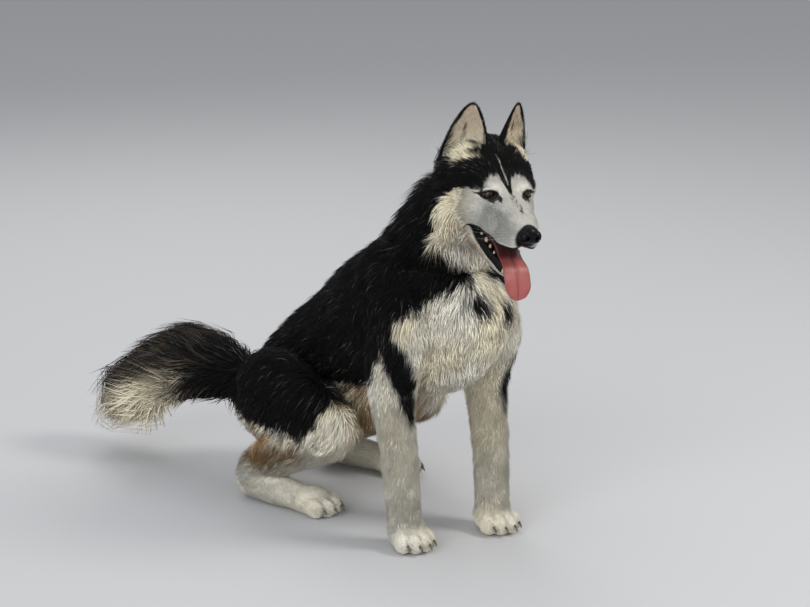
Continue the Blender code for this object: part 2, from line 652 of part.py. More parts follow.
def unite(obj, forms, cutters):
    """Joins closed forms to obj. EXACT drops pieces where many overlap, so this is MANIFOLD."""
    pieces = bpy.data.collections.new(obj.name + "_pieces")
    cutters.children.link(pieces)
    for i, form in enumerate(forms):
        to_object(f"{obj.name}_piece_{i}", form, pieces)
    change = obj.modifiers.new("unite", "BOOLEAN")
    change.operation, change.solver, change.operand_type = "UNION", "MANIFOLD", "COLLECTION"
    change.collection = pieces
    bake_modifiers(obj)
    for piece in list(pieces.objects):
        bpy.data.objects.remove(piece)
    bpy.data.collections.remove(pieces)
    return obj


def swollen(form, by):
    """A copy of a closed form, every point moved out by so much."""
    made = form.copy()
    made.normal_update()
    moves = [vert.normal * by for vert in made.verts]
    for vert, move in zip(made.verts, moves):
        vert.co += move
    return made


def dress(obj, locks, neighbours, around, cutters):
    """Grows locks out of obj, cut clear of what is around its neighbours, and adds their surroundings."""
    grown = [swollen(form, LOCK_CLEARANCE) for form in locks]
    tufts = unite(as_cutter(to_object(obj.name + "_locks", locks[0], cutters)), locks[1:], cutters)
    taken = unite(as_cutter(to_object(obj.name + "_space", grown[0], cutters)), grown[1:], cutters)
    for space in (space for name in neighbours for space in around[name]):
        boolean(tufts, space, "DIFFERENCE", "MANIFOLD")
    largest(boolean(obj, tufts, "UNION", "MANIFOLD"))
    around[obj.name].append(taken)


def cut_away(obj, forms, cutters, solver="EXACT"):
    for i, form in enumerate(forms):
        cutter = as_cutter(to_object(f"{obj.name}_hollow_{i}", form, cutters))
        boolean(obj, cutter, "DIFFERENCE", solver)
    return largest(obj)


def eye_place(way):
    """(centre, matrix) of an eye: its x axis is the gaze."""
    turn = Matrix.Rotation(way * GAZE, 4, "Z") @ Matrix.Rotation(-way * EYE_SLANT, 4, "X")
    return HEAD @ Matrix.Translation((EYE_AT.x, way * EYE_AT.y, EYE_AT.z)) @ turn


def eyeball(way, grow=0.0):
    bm = bmesh.new()
    bmesh.ops.create_uvsphere(bm, u_segments=14, v_segments=8, radius=EYE_RADIUS + grow)
    bmesh.ops.transform(bm, matrix=eye_place(way), verts=bm.verts)
    return bm


def lid_opening(way):
    """A cutter for the slit between the lids: an almond run forwards out of the eye."""
    bm = bmesh.new()
    half, tall = EYE_SLIT
    steps = 14
    line = []
    for i in range(steps):
        a = 2 * math.pi * i / steps
        rise = tall * math.sin(a) * (1 - 0.35 * abs(math.cos(a)))
        line.append(bm.verts.new((0, half * math.cos(a), rise)))
    moved = bmesh.ops.extrude_face_region(bm, geom=[bm.faces.new(line)])["geom"]
    front = [v for v in moved if isinstance(v, bmesh.types.BMVert)]
    bmesh.ops.translate(bm, vec=(0.045, 0, 0), verts=front)
    bmesh.ops.recalc_face_normals(bm, faces=bm.faces)
    bmesh.ops.transform(bm, matrix=eye_place(way), verts=bm.verts)
    return bm


def finish_head(head, jaw, shown, cutters):
    """Eyes, lids, nose, lips, teeth and tongue. EXACT leaves slits in the mouth and nose: MANIFOLD there."""
    made = []
    for way, side in ((1, "left"), (-1, "right")):
        unite(head, [eyeball(way, GAP + LID)], cutters)
        cut_away(head, [lid_opening(way), eyeball(way, GAP)], cutters)
        made.append(to_object("eye_" + side, eyeball(way), shown))
    for obj, hollows in ((head, MOUTH_HOLLOWS[:2]), (jaw, MOUTH_HOLLOWS[1:])):
        cut_away(obj, [ball(in_head, *hollow, sides=12) for hollow in hollows], cutters, "MANIFOLD")
    both = (1, -1)
    unite(head, [lip("upper_lip", head, UPPER_LIP, UPPER_LIP_BEAD, cutters)], cutters)
    unite(jaw, [lip("lower_lip", jaw, LOWER_LIP, LOWER_LIP_BEAD, cutters)], cutters)
    unite(head, [tooth(x, w * y, z, r, h, True) for x, y, z, r, h in UPPER_TEETH for w in both], cutters)
    unite(jaw, [tooth(x, w * y, z, r, h, False) for x, y, z, r, h in LOWER_TEETH for w in both], cutters)
    nose = to_object("nose", ball(in_head, *NOSE, sides=14), shown)
    boolean(head, inflated(nose, "nose_bed", cutters), "DIFFERENCE", "MANIFOLD")
    for spot, radii in (NOSTRIL, NOSTRIL_SLIT):
        pair = [(spot[0], w * spot[1], spot[2]) for w in both]
        cut_away(nose, [ball(in_head, at, radii, sides=8) for at in pair], cutters)
    tongue = to_object("tongue", loft(TONGUE, place=in_head, sides=12, per_span=1, power=0.8), shown)
    bed = inflated(tongue, "tongue_bed", cutters)
    for obj in (head, jaw):
        largest(boolean(obj, bed, "DIFFERENCE", "MANIFOLD"))
    return made + [nose, tongue]


def dress_all(nodes, cutters):
    """The locks of the cheeks, neck, chest, rump, thighs and tail, each clear of the nodes beside it."""
    draw = random.Random(7)
    around = {}
    for name, obj in nodes.items():
        around[name] = [inflated(obj, name + "_around", cutters, LOCK_CLEARANCE)]
    thighs, hind_legs = ["thigh_left", "thigh_right"], ["hind_leg_left", "hind_leg_right"]
    head, neck, torso, tail = (nodes[name] for name in ("head", "neck", "torso", "tail"))
    locks = []
    for way in (1, -1):
        locks += locks_round(head, CHEEKS, CHEEK_LOCKS, draw, in_head, way=way, droop=1.2)
    dress(head, locks, ["neck", "torso", "lower_jaw", "ear_left", "ear_right"], around, cutters)
    locks = locks_round(neck, NECK, NECK_LOCKS, draw, onward=-1.0, droop=0.3)
    dress(neck, locks, ["torso", "head", "lower_jaw"], around, cutters)
    locks = locks_round(torso, TRUNK, RUMP_LOCKS, draw, hold="rear", onward=-0.3, droop=1.0)
    locks += locks_round(torso, NECK, CHEST_LOCKS, draw, hold="front", onward=-1.0, droop=0.5)
    beside = ["neck", "tail", "foreleg_left", "foreleg_right"] + thighs + hind_legs
    dress(torso, locks, beside, around, cutters)
    for way, thigh, hind_leg in zip((1, -1), thighs, hind_legs):
        rows = THIGH if way > 0 else mirrored(THIGH)
        lie = {"hold": "rear", "way": way, "onward": -0.4, "droop": 1.0}
        locks = locks_round(nodes[thigh], rows, THIGH_LOCKS, draw, **lie)
        dress(nodes[thigh], locks, ["torso", "tail", hind_leg], around, cutters)
    locks = locks_round(tail, TAIL, TAIL_LOCKS, draw, hold="rear", wide=TAIL_LOCK_WIDTH)
    dress(tail, locks, ["torso"] + thighs, around, cutters)


FINISH = {    # colour, roughness
    "torso": ((0.045, 0.044, 0.046), 0.85),
    "neck": ((0.060, 0.058, 0.058), 0.85),
    "head": ((0.62, 0.60, 0.56), 0.85),
    "lower_jaw": ((0.66, 0.63, 0.58), 0.85),
    "tongue": ((0.52, 0.13, 0.14), 0.35),
    "nose": ((0.012, 0.012, 0.013), 0.30),
    "eye": ((0.055, 0.028, 0.012), 0.05),
    "ear": ((0.10, 0.09, 0.085), 0.85),
    "foreleg": ((0.72, 0.69, 0.63), 0.85),
    "thigh": ((0.30, 0.28, 0.25), 0.85),
    "hind_leg": ((0.62, 0.59, 0.53), 0.85),
    "tail": ((0.17, 0.16, 0.15), 0.85),
}


def paint(obj):
    key = obj.name.removesuffix("_left").removesuffix("_right")
    colour, rough = FINISH[key]
    made = bpy.data.materials.new(obj.name)
    made.use_nodes = True
    shader = made.node_tree.nodes["Principled BSDF"]
    shader.inputs["Base Color"].default_value = (*colour, 1)
    shader.inputs["Roughness"].default_value = rough
    obj.data.materials.clear()
    obj.data.materials.append(made)


def recentre(nodes):
    """Moves all nodes so that the origin is below the middle of the whole dog."""
    spots = [v.co for obj in nodes for v in obj.data.vertices]
    middle = [(min(p[k] for p in spots) + max(p[k] for p in spots)) / 2 for k in (0, 1)]
    for obj in nodes:
        obj.data.transform(Matrix.Translation((-middle[0], -middle[1], 0)))


def main():
    for obj in list(bpy.data.objects):
        bpy.data.objects.remove(obj)
    shown, cutters = collection("siberian_husky"), collection("cutters", hidden=True)
    torso = join("torso", body_forms() + head_forms(), shown)
    whole_head = copy_of(torso, "whole_head", cutters)
    fuse(torso, BODY_VOXEL, BODY_SMOOTHING, BODY_FACES)
    fuse(whole_head, HEAD_VOXEL, HEAD_SMOOTHING, HEAD_FACES)

    head_region = box("head_region", cutters, *HEAD_BOX, place=in_head)
    head = largest(boolean(copy_of(whole_head, "head", shown), head_region, "INTERSECT"))
    boolean(torso, box("head_gap", cutters, *HEAD_BOX, place=in_head, grow=GAP), "DIFFERENCE")
    boolean(head, outline_cutter("mouth", cutters, MOUTH_TOP, MOUTH_BOTTOM, MOUTH_REACH), "DIFFERENCE")
    jaw = part_off(head, "lower_jaw", JAW_BOX, shown, cutters, place=in_head)
    largest(head)
    neck = part_off(torso, "neck", NECK_BOX, shown, cutters, hold="front")
    nodes = [torso, head, jaw, neck]

    floor = box("floor", cutters, *FLOOR_BOX)
    for way, side in ((1, "left"), (-1, "right")):
        regions = [on_side(region, way) for region in (FORELEG_BOX, THIGH_BOX, HIND_LEG_BOX)]
        foreleg = part_off(torso, "foreleg_" + side, regions[0], shown, cutters, hold="front")
        thigh = part_off(torso, "thigh_" + side, regions[1], shown, cutters, hold="rear")
        hind_leg = part_off(thigh, "hind_leg_" + side, regions[2], shown, cutters, hold="rear")
        for leg, paw, hold in ((foreleg, FORE_PAW, "front"), (hind_leg, HIND_PAW, "rear")):
            unite(leg, claw_forms(paw[0], way * paw[1], paw[2], hold), cutters)
            boolean(leg, floor, "DIFFERENCE")
        ear = to_object("ear_" + side, ear_forms(way), shown)
        boolean(ear, inflated(head, "head_grown_" + side, cutters), "DIFFERENCE")
        nodes += [largest(obj) for obj in (foreleg, thigh, hind_leg, ear)]
    largest(torso)
    nodes += finish_head(head, jaw, shown, cutters)

    tail = to_object("tail", loft(TAIL, hold="rear", sides=12, per_span=2), shown)
    boolean(tail, inflated(torso, "torso_grown", cutters), "DIFFERENCE")
    nodes.append(largest(tail))
    dress_all({obj.name: obj for obj in nodes}, cutters)
    for obj in nodes:
        paint(obj)
    recentre(nodes)
    for cutter in list(cutters.objects):
        bpy.data.objects.remove(cutter)


main()
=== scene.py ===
"""A sitting Siberian husky at life size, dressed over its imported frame.

One skin replaces the solids of the flesh.  Thin tufts of solid mesh grow out of it along the lie of the coat,
and skin and tufts take their colours from the same markings.  Eyes, nose, lips, teeth, tongue, ears, claws and
whiskers are pieces of their own.
"""
import math

import bmesh
import bpy
import numpy as np
from mathutils import Matrix, Vector
from mathutils.bvhtree import BVHTree


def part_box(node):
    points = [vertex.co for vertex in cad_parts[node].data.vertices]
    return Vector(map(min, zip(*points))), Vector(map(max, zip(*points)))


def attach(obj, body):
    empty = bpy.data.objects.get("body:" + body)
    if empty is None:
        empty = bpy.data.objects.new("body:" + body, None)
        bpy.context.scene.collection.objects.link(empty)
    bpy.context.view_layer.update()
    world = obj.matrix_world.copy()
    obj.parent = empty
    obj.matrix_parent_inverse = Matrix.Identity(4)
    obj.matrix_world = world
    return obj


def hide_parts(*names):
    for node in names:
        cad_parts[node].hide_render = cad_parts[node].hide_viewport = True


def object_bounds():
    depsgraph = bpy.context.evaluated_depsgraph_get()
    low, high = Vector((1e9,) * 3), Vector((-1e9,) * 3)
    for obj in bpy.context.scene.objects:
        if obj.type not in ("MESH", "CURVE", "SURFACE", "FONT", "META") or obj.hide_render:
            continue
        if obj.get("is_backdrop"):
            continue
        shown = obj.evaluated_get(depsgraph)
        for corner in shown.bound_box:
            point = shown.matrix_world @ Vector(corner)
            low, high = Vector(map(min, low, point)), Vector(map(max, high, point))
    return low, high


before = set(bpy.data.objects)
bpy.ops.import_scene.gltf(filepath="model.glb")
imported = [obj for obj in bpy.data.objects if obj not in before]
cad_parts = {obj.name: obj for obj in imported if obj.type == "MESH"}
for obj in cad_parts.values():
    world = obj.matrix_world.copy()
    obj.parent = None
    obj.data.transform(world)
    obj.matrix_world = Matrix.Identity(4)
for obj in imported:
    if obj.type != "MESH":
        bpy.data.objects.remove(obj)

cad_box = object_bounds()

# ---------------------------------------------------------------- the pose
# The dog is designed straight, facing +X above the floor at z = 0.  Its hips and tail then turn one way and its
# chest and forelegs the other, and the head is set on in a frame of its own, between the eyes.
REAR_TURN = math.radians(13)       # heading of the hips and tail
FRONT_TURN = math.radians(-12)     # heading of the chest and forelegs
BEND_FROM, BEND_TO = -0.46, -0.20  # the loin, where the trunk bends
HEAD_AT = Vector((0.1018, -0.0731, 0.6148))
HEAD_TURNS = [(-20.2, "Z"), (14.6, "Y"), (-4.5, "X")]    # aside, nose down, tilted
EYE_AT = Vector((-0.0068, 0.0322, -0.0008))   # the left eye's centre

HEAD = Matrix.Translation(HEAD_AT)
for turn, axis in HEAD_TURNS:
    HEAD = HEAD @ Matrix.Rotation(math.radians(turn), 4, axis)
low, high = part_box("eye_right")
SHIFT = (low + high) / 2 - HEAD @ Vector((EYE_AT.x, -EYE_AT.y, EYE_AT.z))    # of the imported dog
SHIFT.z = 0
HEAD = Matrix.Translation(SHIFT) @ HEAD


def heading(x):
    """Heading of the trunk at x, which passes smoothly from the rear's to the front's."""
    t = min(max((x - BEND_FROM) / (BEND_TO - BEND_FROM), 0.0), 1.0)
    return REAR_TURN + (FRONT_TURN - REAR_TURN) * t * t * (3 - 2 * t)


def ahead(turn):
    return Vector((math.cos(turn), math.sin(turn), 0))


def midline(x):
    """Where the straight design's point (x, 0) goes when the trunk bends."""
    at = Vector((BEND_FROM + 0.012, -0.018, 0)) + SHIFT
    if x <= BEND_FROM:
        return at + (x - BEND_FROM) * ahead(REAR_TURN)
    end, steps = min(x, BEND_TO), 40
    for i in range(steps):
        at += ahead(heading(BEND_FROM + (end - BEND_FROM) * (i + 0.5) / steps)) * (end - BEND_FROM) / steps
    return at + max(x - BEND_TO, 0) * ahead(FRONT_TURN)


def posed(x, y, z, hold=None):
    """(place, the way to the left) of a design point; hold "rear" or "front" turns it stiffly with that end."""
    end = {"rear": (BEND_FROM, REAR_TURN), "front": (BEND_TO, FRONT_TURN)}.get(hold)
    if end:
        base, turn = midline(end[0]) + (x - end[0]) * ahead(end[1]), end[1]
    else:
        base, turn = midline(x), heading(x)
    left = ahead(turn + math.pi / 2)
    return base + left * y + Vector((0, 0, z)), left


def head_way(x, y, z):
    """A direction given in the head's own frame."""
    return HEAD.to_3x3() @ Vector((x, y, z))


def in_head(x, y, z, _hold=None):
    """(place, the way to the left) of a point of the head's own frame."""
    return HEAD @ Vector((x, y, z)), head_way(0, 1, 0)


def straightened(points):
    """The design's own coordinates of posed points, as an array."""
    xs = np.arange(-0.95, 0.25, 0.004)
    line = np.array([midline(x)[:2] for x in xs.tolist()])
    turns = np.array([heading(x) for x in xs.tolist()])
    out = np.empty_like(points)
    for part in np.array_split(np.arange(len(points)), max(1, len(points) // 20000)):
        away = points[part, None, :2] - line
        near = (away ** 2).sum(2).argmin(1)
        away = away[np.arange(len(part)), near]
        c, s = np.cos(turns[near]), np.sin(turns[near])
        out[part, 0] = xs[near] + away[:, 0] * c + away[:, 1] * s
        out[part, 1] = away[:, 1] * c - away[:, 0] * s
    out[:, 2] = points[:, 2]
    return out


def head_own(points):
    """The head frame's coordinates of points, as an array."""
    back = np.array(HEAD.inverted())
    return points @ back[:3, :3].T + back[:3, 3]


# ---------------------------------------------------------------- floor, light and camera
# A pale matt studio floor under large soft lights, with the camera a little above the dog's back.
AIM = Vector((-0.2, 0, 0.37)) + SHIFT
CAMERA_SIDE, CAMERA_HEIGHT, CAMERA_AWAY = math.radians(45), math.radians(14), 4.2
PIXEL = 0.0017                     # metres that one pixel covers at the aim
FRAME_PIXELS = 810
FLOOR_SIZE = 40.0

backward = Vector((
    math.sin(CAMERA_SIDE) * math.cos(CAMERA_HEIGHT),
    -math.cos(CAMERA_SIDE) * math.cos(CAMERA_HEIGHT),
    math.sin(CAMERA_HEIGHT),
))
lens = bpy.data.cameras.new("camera")
lens.sensor_width = 36.0
lens.lens = lens.sensor_width * CAMERA_AWAY / PIXEL / FRAME_PIXELS
camera = bpy.data.objects.new("camera", lens)
camera.location = AIM + backward * CAMERA_AWAY
camera.rotation_euler = backward.to_track_quat("Z", "Y").to_euler()
bpy.context.scene.collection.objects.link(camera)
bpy.context.scene.camera = camera

bm = bmesh.new()
bmesh.ops.create_grid(bm, x_segments=2, y_segments=2, size=FLOOR_SIZE)
mesh = bpy.data.meshes.new("floor")
bm.to_mesh(mesh)
bm.free()
floor = bpy.data.objects.new("floor", mesh)
bpy.context.scene.collection.objects.link(floor)
floor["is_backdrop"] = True


def material(name, colour, rough):
    """A new material with its shader, of one colour and roughness."""
    made = bpy.data.materials.new(name)
    made.use_nodes = True
    shader = made.node_tree.nodes["Principled BSDF"]
    shader.inputs["Base Color"].default_value = (*colour, 1)
    shader.inputs["Roughness"].default_value = rough
    return made, shader


floor.data.materials.append(material("pale_floor", (0.50, 0.505, 0.515), 0.9)[0])

LIGHTS = {    # place from the aim, size, power, colour
    "key": ((2.6, 1.5, 2.7), 1.1, 76, (1.0, 0.96, 0.90)),
    "sky": ((-0.4, 0.2, 3.4), 4.0, 34, (0.98, 0.98, 1.0)),
    "fill": ((2.1, -4.8, 1.8), 4.6, 228, (0.96, 0.98, 1.0)),
    "rim": ((-2.6, 1.4, 2.2), 1.6, 26, (1.0, 0.99, 0.97)),
}
for name, (place, size, power, colour) in LIGHTS.items():
    lamp = bpy.data.lights.new(name, "AREA")
    lamp.size, lamp.energy, lamp.color = size, power, colour
    light = bpy.data.objects.new(name, lamp)
    light.location = AIM + Vector(place)
    light.rotation_euler = Vector(place).to_track_quat("Z", "Y").to_euler()
    bpy.context.scene.collection.objects.link(light)
world = bpy.data.worlds.new("studio")
bpy.context.scene.world = world
world.use_nodes = True
air = world.node_tree.nodes["Background"]
air.inputs["Color"].default_value, air.inputs["Strength"].default_value = (0.90, 0.92, 0.95, 1), 0.52
bpy.context.scene.view_settings.view_transform = "Standard"

# ---------------------------------------------------------------- the skin
# The hide over the whole body, with no seam: trunk, neck, head, jaw, legs and tail, short of the coat's outside by
# the coat's depth.  Rounded forms are fused and smoothed, then the mouth and the eyes are opened.
# rows of a form: x, y, z, half width, reach to the back (or a leg's front), reach to the belly (or its back)
TRUNK = [
    (-0.545, 0, 0.128, 0.056, 0.046, 0.066),
    (-0.505, 0, 0.160, 0.082, 0.072, 0.110),
    (-0.430, 0, 0.215, 0.098, 0.096, 0.135),
    (-0.330, 0, 0.288, 0.110, 0.104, 0.125),
    (-0.230, 0, 0.356, 0.124, 0.112, 0.142),
    (-0.140, 0, 0.392, 0.124, 0.112, 0.150),
    (-0.060, 0, 0.400, 0.104, 0.100, 0.140),
    (-0.010, 0, 0.392, 0.078, 0.080, 0.110),
]
NECK = [
    (-0.165, 0.000, 0.405, 0.106, 0.094, 0.118),
    (-0.112, 0.000, 0.470, 0.092, 0.088, 0.114),
    (-0.062, 0.004, 0.535, 0.080, 0.080, 0.098),
    (-0.018, 0.012, 0.590, 0.072, 0.062, 0.080),
]
BRISKET = [
    (-0.250, 0, 0.270, 0.060, 0.050, 0.050),
    (-0.120, 0, 0.295, 0.072, 0.060, 0.055),
    (-0.030, 0, 0.330, 0.070, 0.060, 0.050),
    (0.010, 0, 0.380, 0.060, 0.060, 0.050),
]
UPPER_ARM = [
    (-0.150, 0.070, 0.430, 0.048, 0.085, 0.070),
    (-0.070, 0.085, 0.365, 0.050, 0.066, 0.074),
    (-0.076, 0.092, 0.310, 0.046, 0.052, 0.066),
    (-0.090, 0.094, 0.260, 0.037, 0.043, 0.050),
]
FORELEG = [
    (-0.088, 0.094, 0.285, 0.037, 0.045, 0.050),
    (-0.080, 0.093, 0.225, 0.033, 0.039, 0.044),
    (-0.066, 0.091, 0.150, 0.031, 0.035, 0.037),
    (-0.060, 0.090, 0.090, 0.030, 0.033, 0.034),
    (-0.056, 0.088, 0.040, 0.030, 0.031, 0.030),
]
THIGH = [
    (-0.480, 0.070, 0.190, 0.056, 0.074, 0.084),
    (-0.420, 0.104, 0.185, 0.062, 0.092, 0.108),
    (-0.345, 0.130, 0.172, 0.056, 0.080, 0.084),
    (-0.290, 0.142, 0.160, 0.044, 0.054, 0.056),
]
SHANK = [
    (-0.285, 0.143, 0.155, 0.040, 0.045, 0.050),
    (-0.350, 0.138, 0.125, 0.038, 0.044, 0.054),
    (-0.420, 0.130, 0.088, 0.033, 0.036, 0.044),
    (-0.472, 0.125, 0.060, 0.028, 0.030, 0.034),
]
HIND_FOOT = [
    (-0.482, 0.124, 0.040, 0.027, 0.032, 0.038),
    (-0.430, 0.128, 0.031, 0.027, 0.028, 0.032),
    (-0.375, 0.132, 0.026, 0.028, 0.024, 0.028),
]
TAIL = [
    (-0.530, 0.000, 0.150, 0.034, 0.034, 0.038),
    (-0.575, 0.000, 0.170, 0.032, 0.032, 0.036),
    (-0.630, 0.000, 0.190, 0.030, 0.030, 0.034),
    (-0.690, 0.000, 0.190, 0.028, 0.028, 0.032),
    (-0.745, -0.002, 0.170, 0.025, 0.025, 0.028),
    (-0.795, -0.006, 0.138, 0.020, 0.020, 0.021),
    (-0.832, -0.010, 0.104, 0.012, 0.012, 0.012),
]
GROIN = [    # the loose belly between the thighs
    (-0.430, 0, 0.150, 0.040, 0.040, 0.045),
    (-0.350, 0, 0.180, 0.066, 0.050, 0.058),
    (-0.270, 0, 0.205, 0.074, 0.055, 0.068),
    (-0.190, 0, 0.250, 0.060, 0.050, 0.050),
]
LIMBS = [
    ("arm", UPPER_ARM, "front"), ("foreleg", FORELEG, "front"), ("thigh", THIGH, "rear"), ("shank", SHANK, "rear"),
    ("foot", HIND_FOOT, "rear"),
]
FORE_PAW = (-0.050, 0.086, 0.084)   # x, y, length
HIND_PAW = (-0.345, 0.132, 0.088)
PAD = (0.44, 0.034, 0.027)          # half length as a share of the paw's, half width, half height
TOES = [(0.26, -0.026), (0.40, -0.0095), (0.40, 0.0095), (0.26, 0.026)]    # share of its length ahead, aside
TOE_HEIGHT, TOE_SIZE = 0.016, (0.022, 0.0125, 0.019)
DEPTH = {    # of the coat over each form
    "trunk": 0.012, "neck": 0.015, "brisket": 0.010, "arm": 0.008, "foreleg": 0.005, "thigh": 0.013,
    "shank": 0.007, "foot": 0.004, "paw": 0.0025, "tail": 0.004, "groin": 0.010, "skull": 0.004, "jaw": 0.004,
}
SKULL = [
    (-0.122, 0, -0.012, 0.056, 0.034, 0.060),
    (-0.098, 0, 0.002, 0.068, 0.052, 0.070),
    (-0.060, 0, 0.002, 0.069, 0.048, 0.066),
    (-0.030, 0, -0.004, 0.063, 0.034, 0.058),
    (-0.008, 0, -0.008, 0.050, 0.022, 0.056),
    (0.014, 0, -0.014, 0.037, 0.018, 0.055),
    (0.045, 0, -0.021, 0.031, 0.020, 0.046),
    (0.068, 0, -0.026, 0.027, 0.018, 0.038),
    (0.082, 0, -0.029, 0.022, 0.015, 0.030),
]
HEAD_BALLS = [    # centre, half sizes and depth of the coat of what fills the head out on each side
    ((-0.040, 0.034, -0.006), (0.040, 0.032, 0.034), 0.0035),    # temple
    ((-0.046, 0.036, -0.036), (0.058, 0.036, 0.042), 0.006),    # cheek
    ((-0.004, 0.026, -0.044), (0.046, 0.020, 0.028), 0.003),    # muzzle root
    ((-0.084, 0.048, -0.062), (0.056, 0.040, 0.060), 0.014),    # ruff
    ((-0.012, 0.025, 0.008), (0.021, 0.019, 0.012), 0.002),    # brow
    ((0.046, 0.015, -0.052), (0.038, 0.018, 0.026), 0.0015),    # flew
]
JAW = [
    (-0.085, 0, -0.068, 0.052, 0.030, 0.034),
    (-0.035, 0, -0.086, 0.044, 0.024, 0.026),
    (0.012, 0, -0.098, 0.033, 0.016, 0.020),
    (0.042, 0, -0.107, 0.024, 0.010, 0.016),
    (0.056, 0, -0.110, 0.018, 0.008, 0.013),
]
MOUTH_TOP = [     # (x, z) of the upper edge of the opening, from its corner on
    (-0.030, -0.0665), (-0.018, -0.0600), (-0.007, -0.0570), (0.012, -0.0572), (0.030, -0.0610), (0.047, -0.0636),
    (0.0686, -0.0600), (0.080, -0.0577), (0.130, -0.048),
]
MOUTH_BOTTOM = [
    (-0.030, -0.0665), (-0.015, -0.0755), (0.005, -0.0840), (0.026, -0.0925), (0.041, -0.0990), (0.060, -0.106),
    (0.130, -0.140),
]
MOUTH_REACH = 0.12                 # how far the cut of the mouth goes to each side
MOUTH_HOLLOWS = [    # centre and half sizes: the palate, the throat and the trough of the jaw
    ((0.020, 0, -0.068), (0.056, 0.019, 0.010)),
    ((-0.030, 0, -0.074), (0.034, 0.021, 0.014)),
    ((0.016, 0, -0.092), (0.040, 0.018, 0.009)),
]
VOXEL = 0.0025
SMOOTHING = 16                     # passes over the creases between the fused forms
FINE_FROM, FINE_ABOVE = -0.10, 0.42    # along the head and above the floor: the mesh stays fine in front of this
BODY_KEPT = 0.34                   # share of the faces kept elsewhere
SOLE = 0.0004                      # lowest point of the soles above the floor
EYE_RADIUS, LID, SOCKET_GAP = 0.0112, 0.0021, 0.0002
GAZE = math.radians(14)            # how far each eye looks outwards
EYE_SLANT = math.radians(12)       # its outer corner is higher
EYE_SLIT = (0.0126, 0.0058)        # half the length and height of the opening of the lids


def mirrored(rows):
    return [(r[0], -r[1], *r[2:]) for r in rows]


def smooth_rows(rows, per_span):
    """Rows read from a smooth curve through the given rows."""
    out = []
    for i in range(len(rows) - 1):
        four = (rows[max(i - 1, 0)], rows[i], rows[i + 1], rows[min(i + 2, len(rows) - 1)])
        for k in range(per_span):
            t = k / per_span
            out.append([
                b + (c - a) * t / 2 + (2 * a - 5 * b + 4 * c - d) * t ** 2 / 2 + (3 * b - a - 3 * c + d) * t ** 3 / 2
                for a, b, c, d in zip(*four)
            ])
    return out + [list(rows[-1])]


def squared(value, power):
    return math.copysign(abs(value) ** power, value)


def loft(rows, place=posed, hold=None, sides=24, per_span=4, cap=0.8, power=1.0, depth=0.0):
    """A closed, round-ended form along rows, thinner by depth; a power under 1 squares its section."""
    rows = smooth_rows(rows, per_span)
    spots = [place(*r[:3], hold) for r in rows]
    rings = []
    for i, (r, (at, left)) in enumerate(zip(rows, spots)):
        along = (spots[min(i + 1, len(rows) - 1)][0] - spots[max(i - 1, 0)][0]).normalized()
        left = (left - along * left.dot(along)).normalized()
        rings.append((at, along, left, along.cross(left), *(size - depth for size in r[3:])))
    ends = []
    for ring, way in ((rings[0], -1), (rings[-1], 1)):
        at, along, left, up, *sizes = ring
        reach = cap * sum(sizes) / 3
        ends.append([
            (at + along * way * reach * math.sin(a), along, left, up, *(s * math.cos(a) for s in sizes))
            for a in (math.radians(30), math.radians(58), math.radians(80))
        ])
    bm = bmesh.new()
    loops = []
    for at, along, left, up, wide, over, under in ends[0][::-1] + rings + ends[1]:
        loop = []
        for j in range(sides):
            a = 2 * math.pi * j / sides
            reach = over if math.sin(a) > 0 else under
            across, height = squared(math.cos(a), power), squared(math.sin(a), power)
            loop.append(bm.verts.new(at + left * wide * across + up * reach * height))
        loops.append([bm.edges.new((loop[j - 1], loop[j])) for j in range(sides)])
    for lower, upper in zip(loops, loops[1:]):
        bmesh.ops.bridge_loops(bm, edges=lower + upper)
    bmesh.ops.holes_fill(bm, edges=bm.edges, sides=sides)
    bmesh.ops.recalc_face_normals(bm, faces=bm.faces)
    return bm


def ball(place, at, radii, hold=None, sides=24):
    """An ellipsoid with half sizes radii."""
    bm = bmesh.new()
    bmesh.ops.create_uvsphere(bm, u_segments=sides, v_segments=sides // 2, radius=1.0)
    centre, left = place(*at, hold)
    onward = place(at[0] + 0.001, at[1], at[2], hold)[0] - centre
    onward = (onward - left * onward.dot(left)).normalized()
    turned = Matrix((onward, left, onward.cross(left))).transposed().to_4x4()
    moved = Matrix.Translation(centre) @ turned @ Matrix.Diagonal((*radii, 1))
    bmesh.ops.transform(bm, matrix=moved, verts=bm.verts)
    return bm


def made_object(name, forms):
    """One object of several bmeshes, which it uses up."""
    whole = bmesh.new()
    for form in forms:
        mesh = bpy.data.meshes.new("form")
        form.to_mesh(mesh)
        form.free()
        whole.from_mesh(mesh)
        bpy.data.meshes.remove(mesh)
    mesh = bpy.data.meshes.new(name)
    whole.to_mesh(mesh)
    whole.free()
    made = bpy.data.objects.new(name, mesh)
    bpy.context.scene.collection.objects.link(made)
    return made


def baked(obj):
    """obj with its modifiers applied to its mesh."""
    graph = bpy.context.evaluated_depsgraph_get()
    mesh = bpy.data.meshes.new_from_object(obj.evaluated_get(graph))
    obj.modifiers.clear()
    old, obj.data = obj.data, mesh
    bpy.data.meshes.remove(old)
    return obj


def softened(obj, factor, passes):
    """obj with its creases smoothed."""
    change = obj.modifiers.new("soften", "SMOOTH")
    change.factor, change.iterations = factor, passes
    return baked(obj)


def fused(obj, voxel, passes):
    """obj with its overlapping forms made one surface, and the creases between them smoothed."""
    change = obj.modifiers.new("fuse", "REMESH")
    change.mode, change.voxel_size = "VOXEL", voxel
    return softened(obj, 0.5, passes)


def cut(obj, form):
    """obj less a closed bmesh."""
    cutter = made_object("cutter", [form])
    change = obj.modifiers.new("cut", "BOOLEAN")
    change.operation, change.solver, change.object = "DIFFERENCE", "MANIFOLD", cutter
    baked(obj)
    bpy.data.objects.remove(cutter)


def toes(x, y, length):
    """The places of a paw's four toes: x, y and z."""
    for share, aside in TOES:
        yield x + length * share, y + aside, TOE_HEIGHT


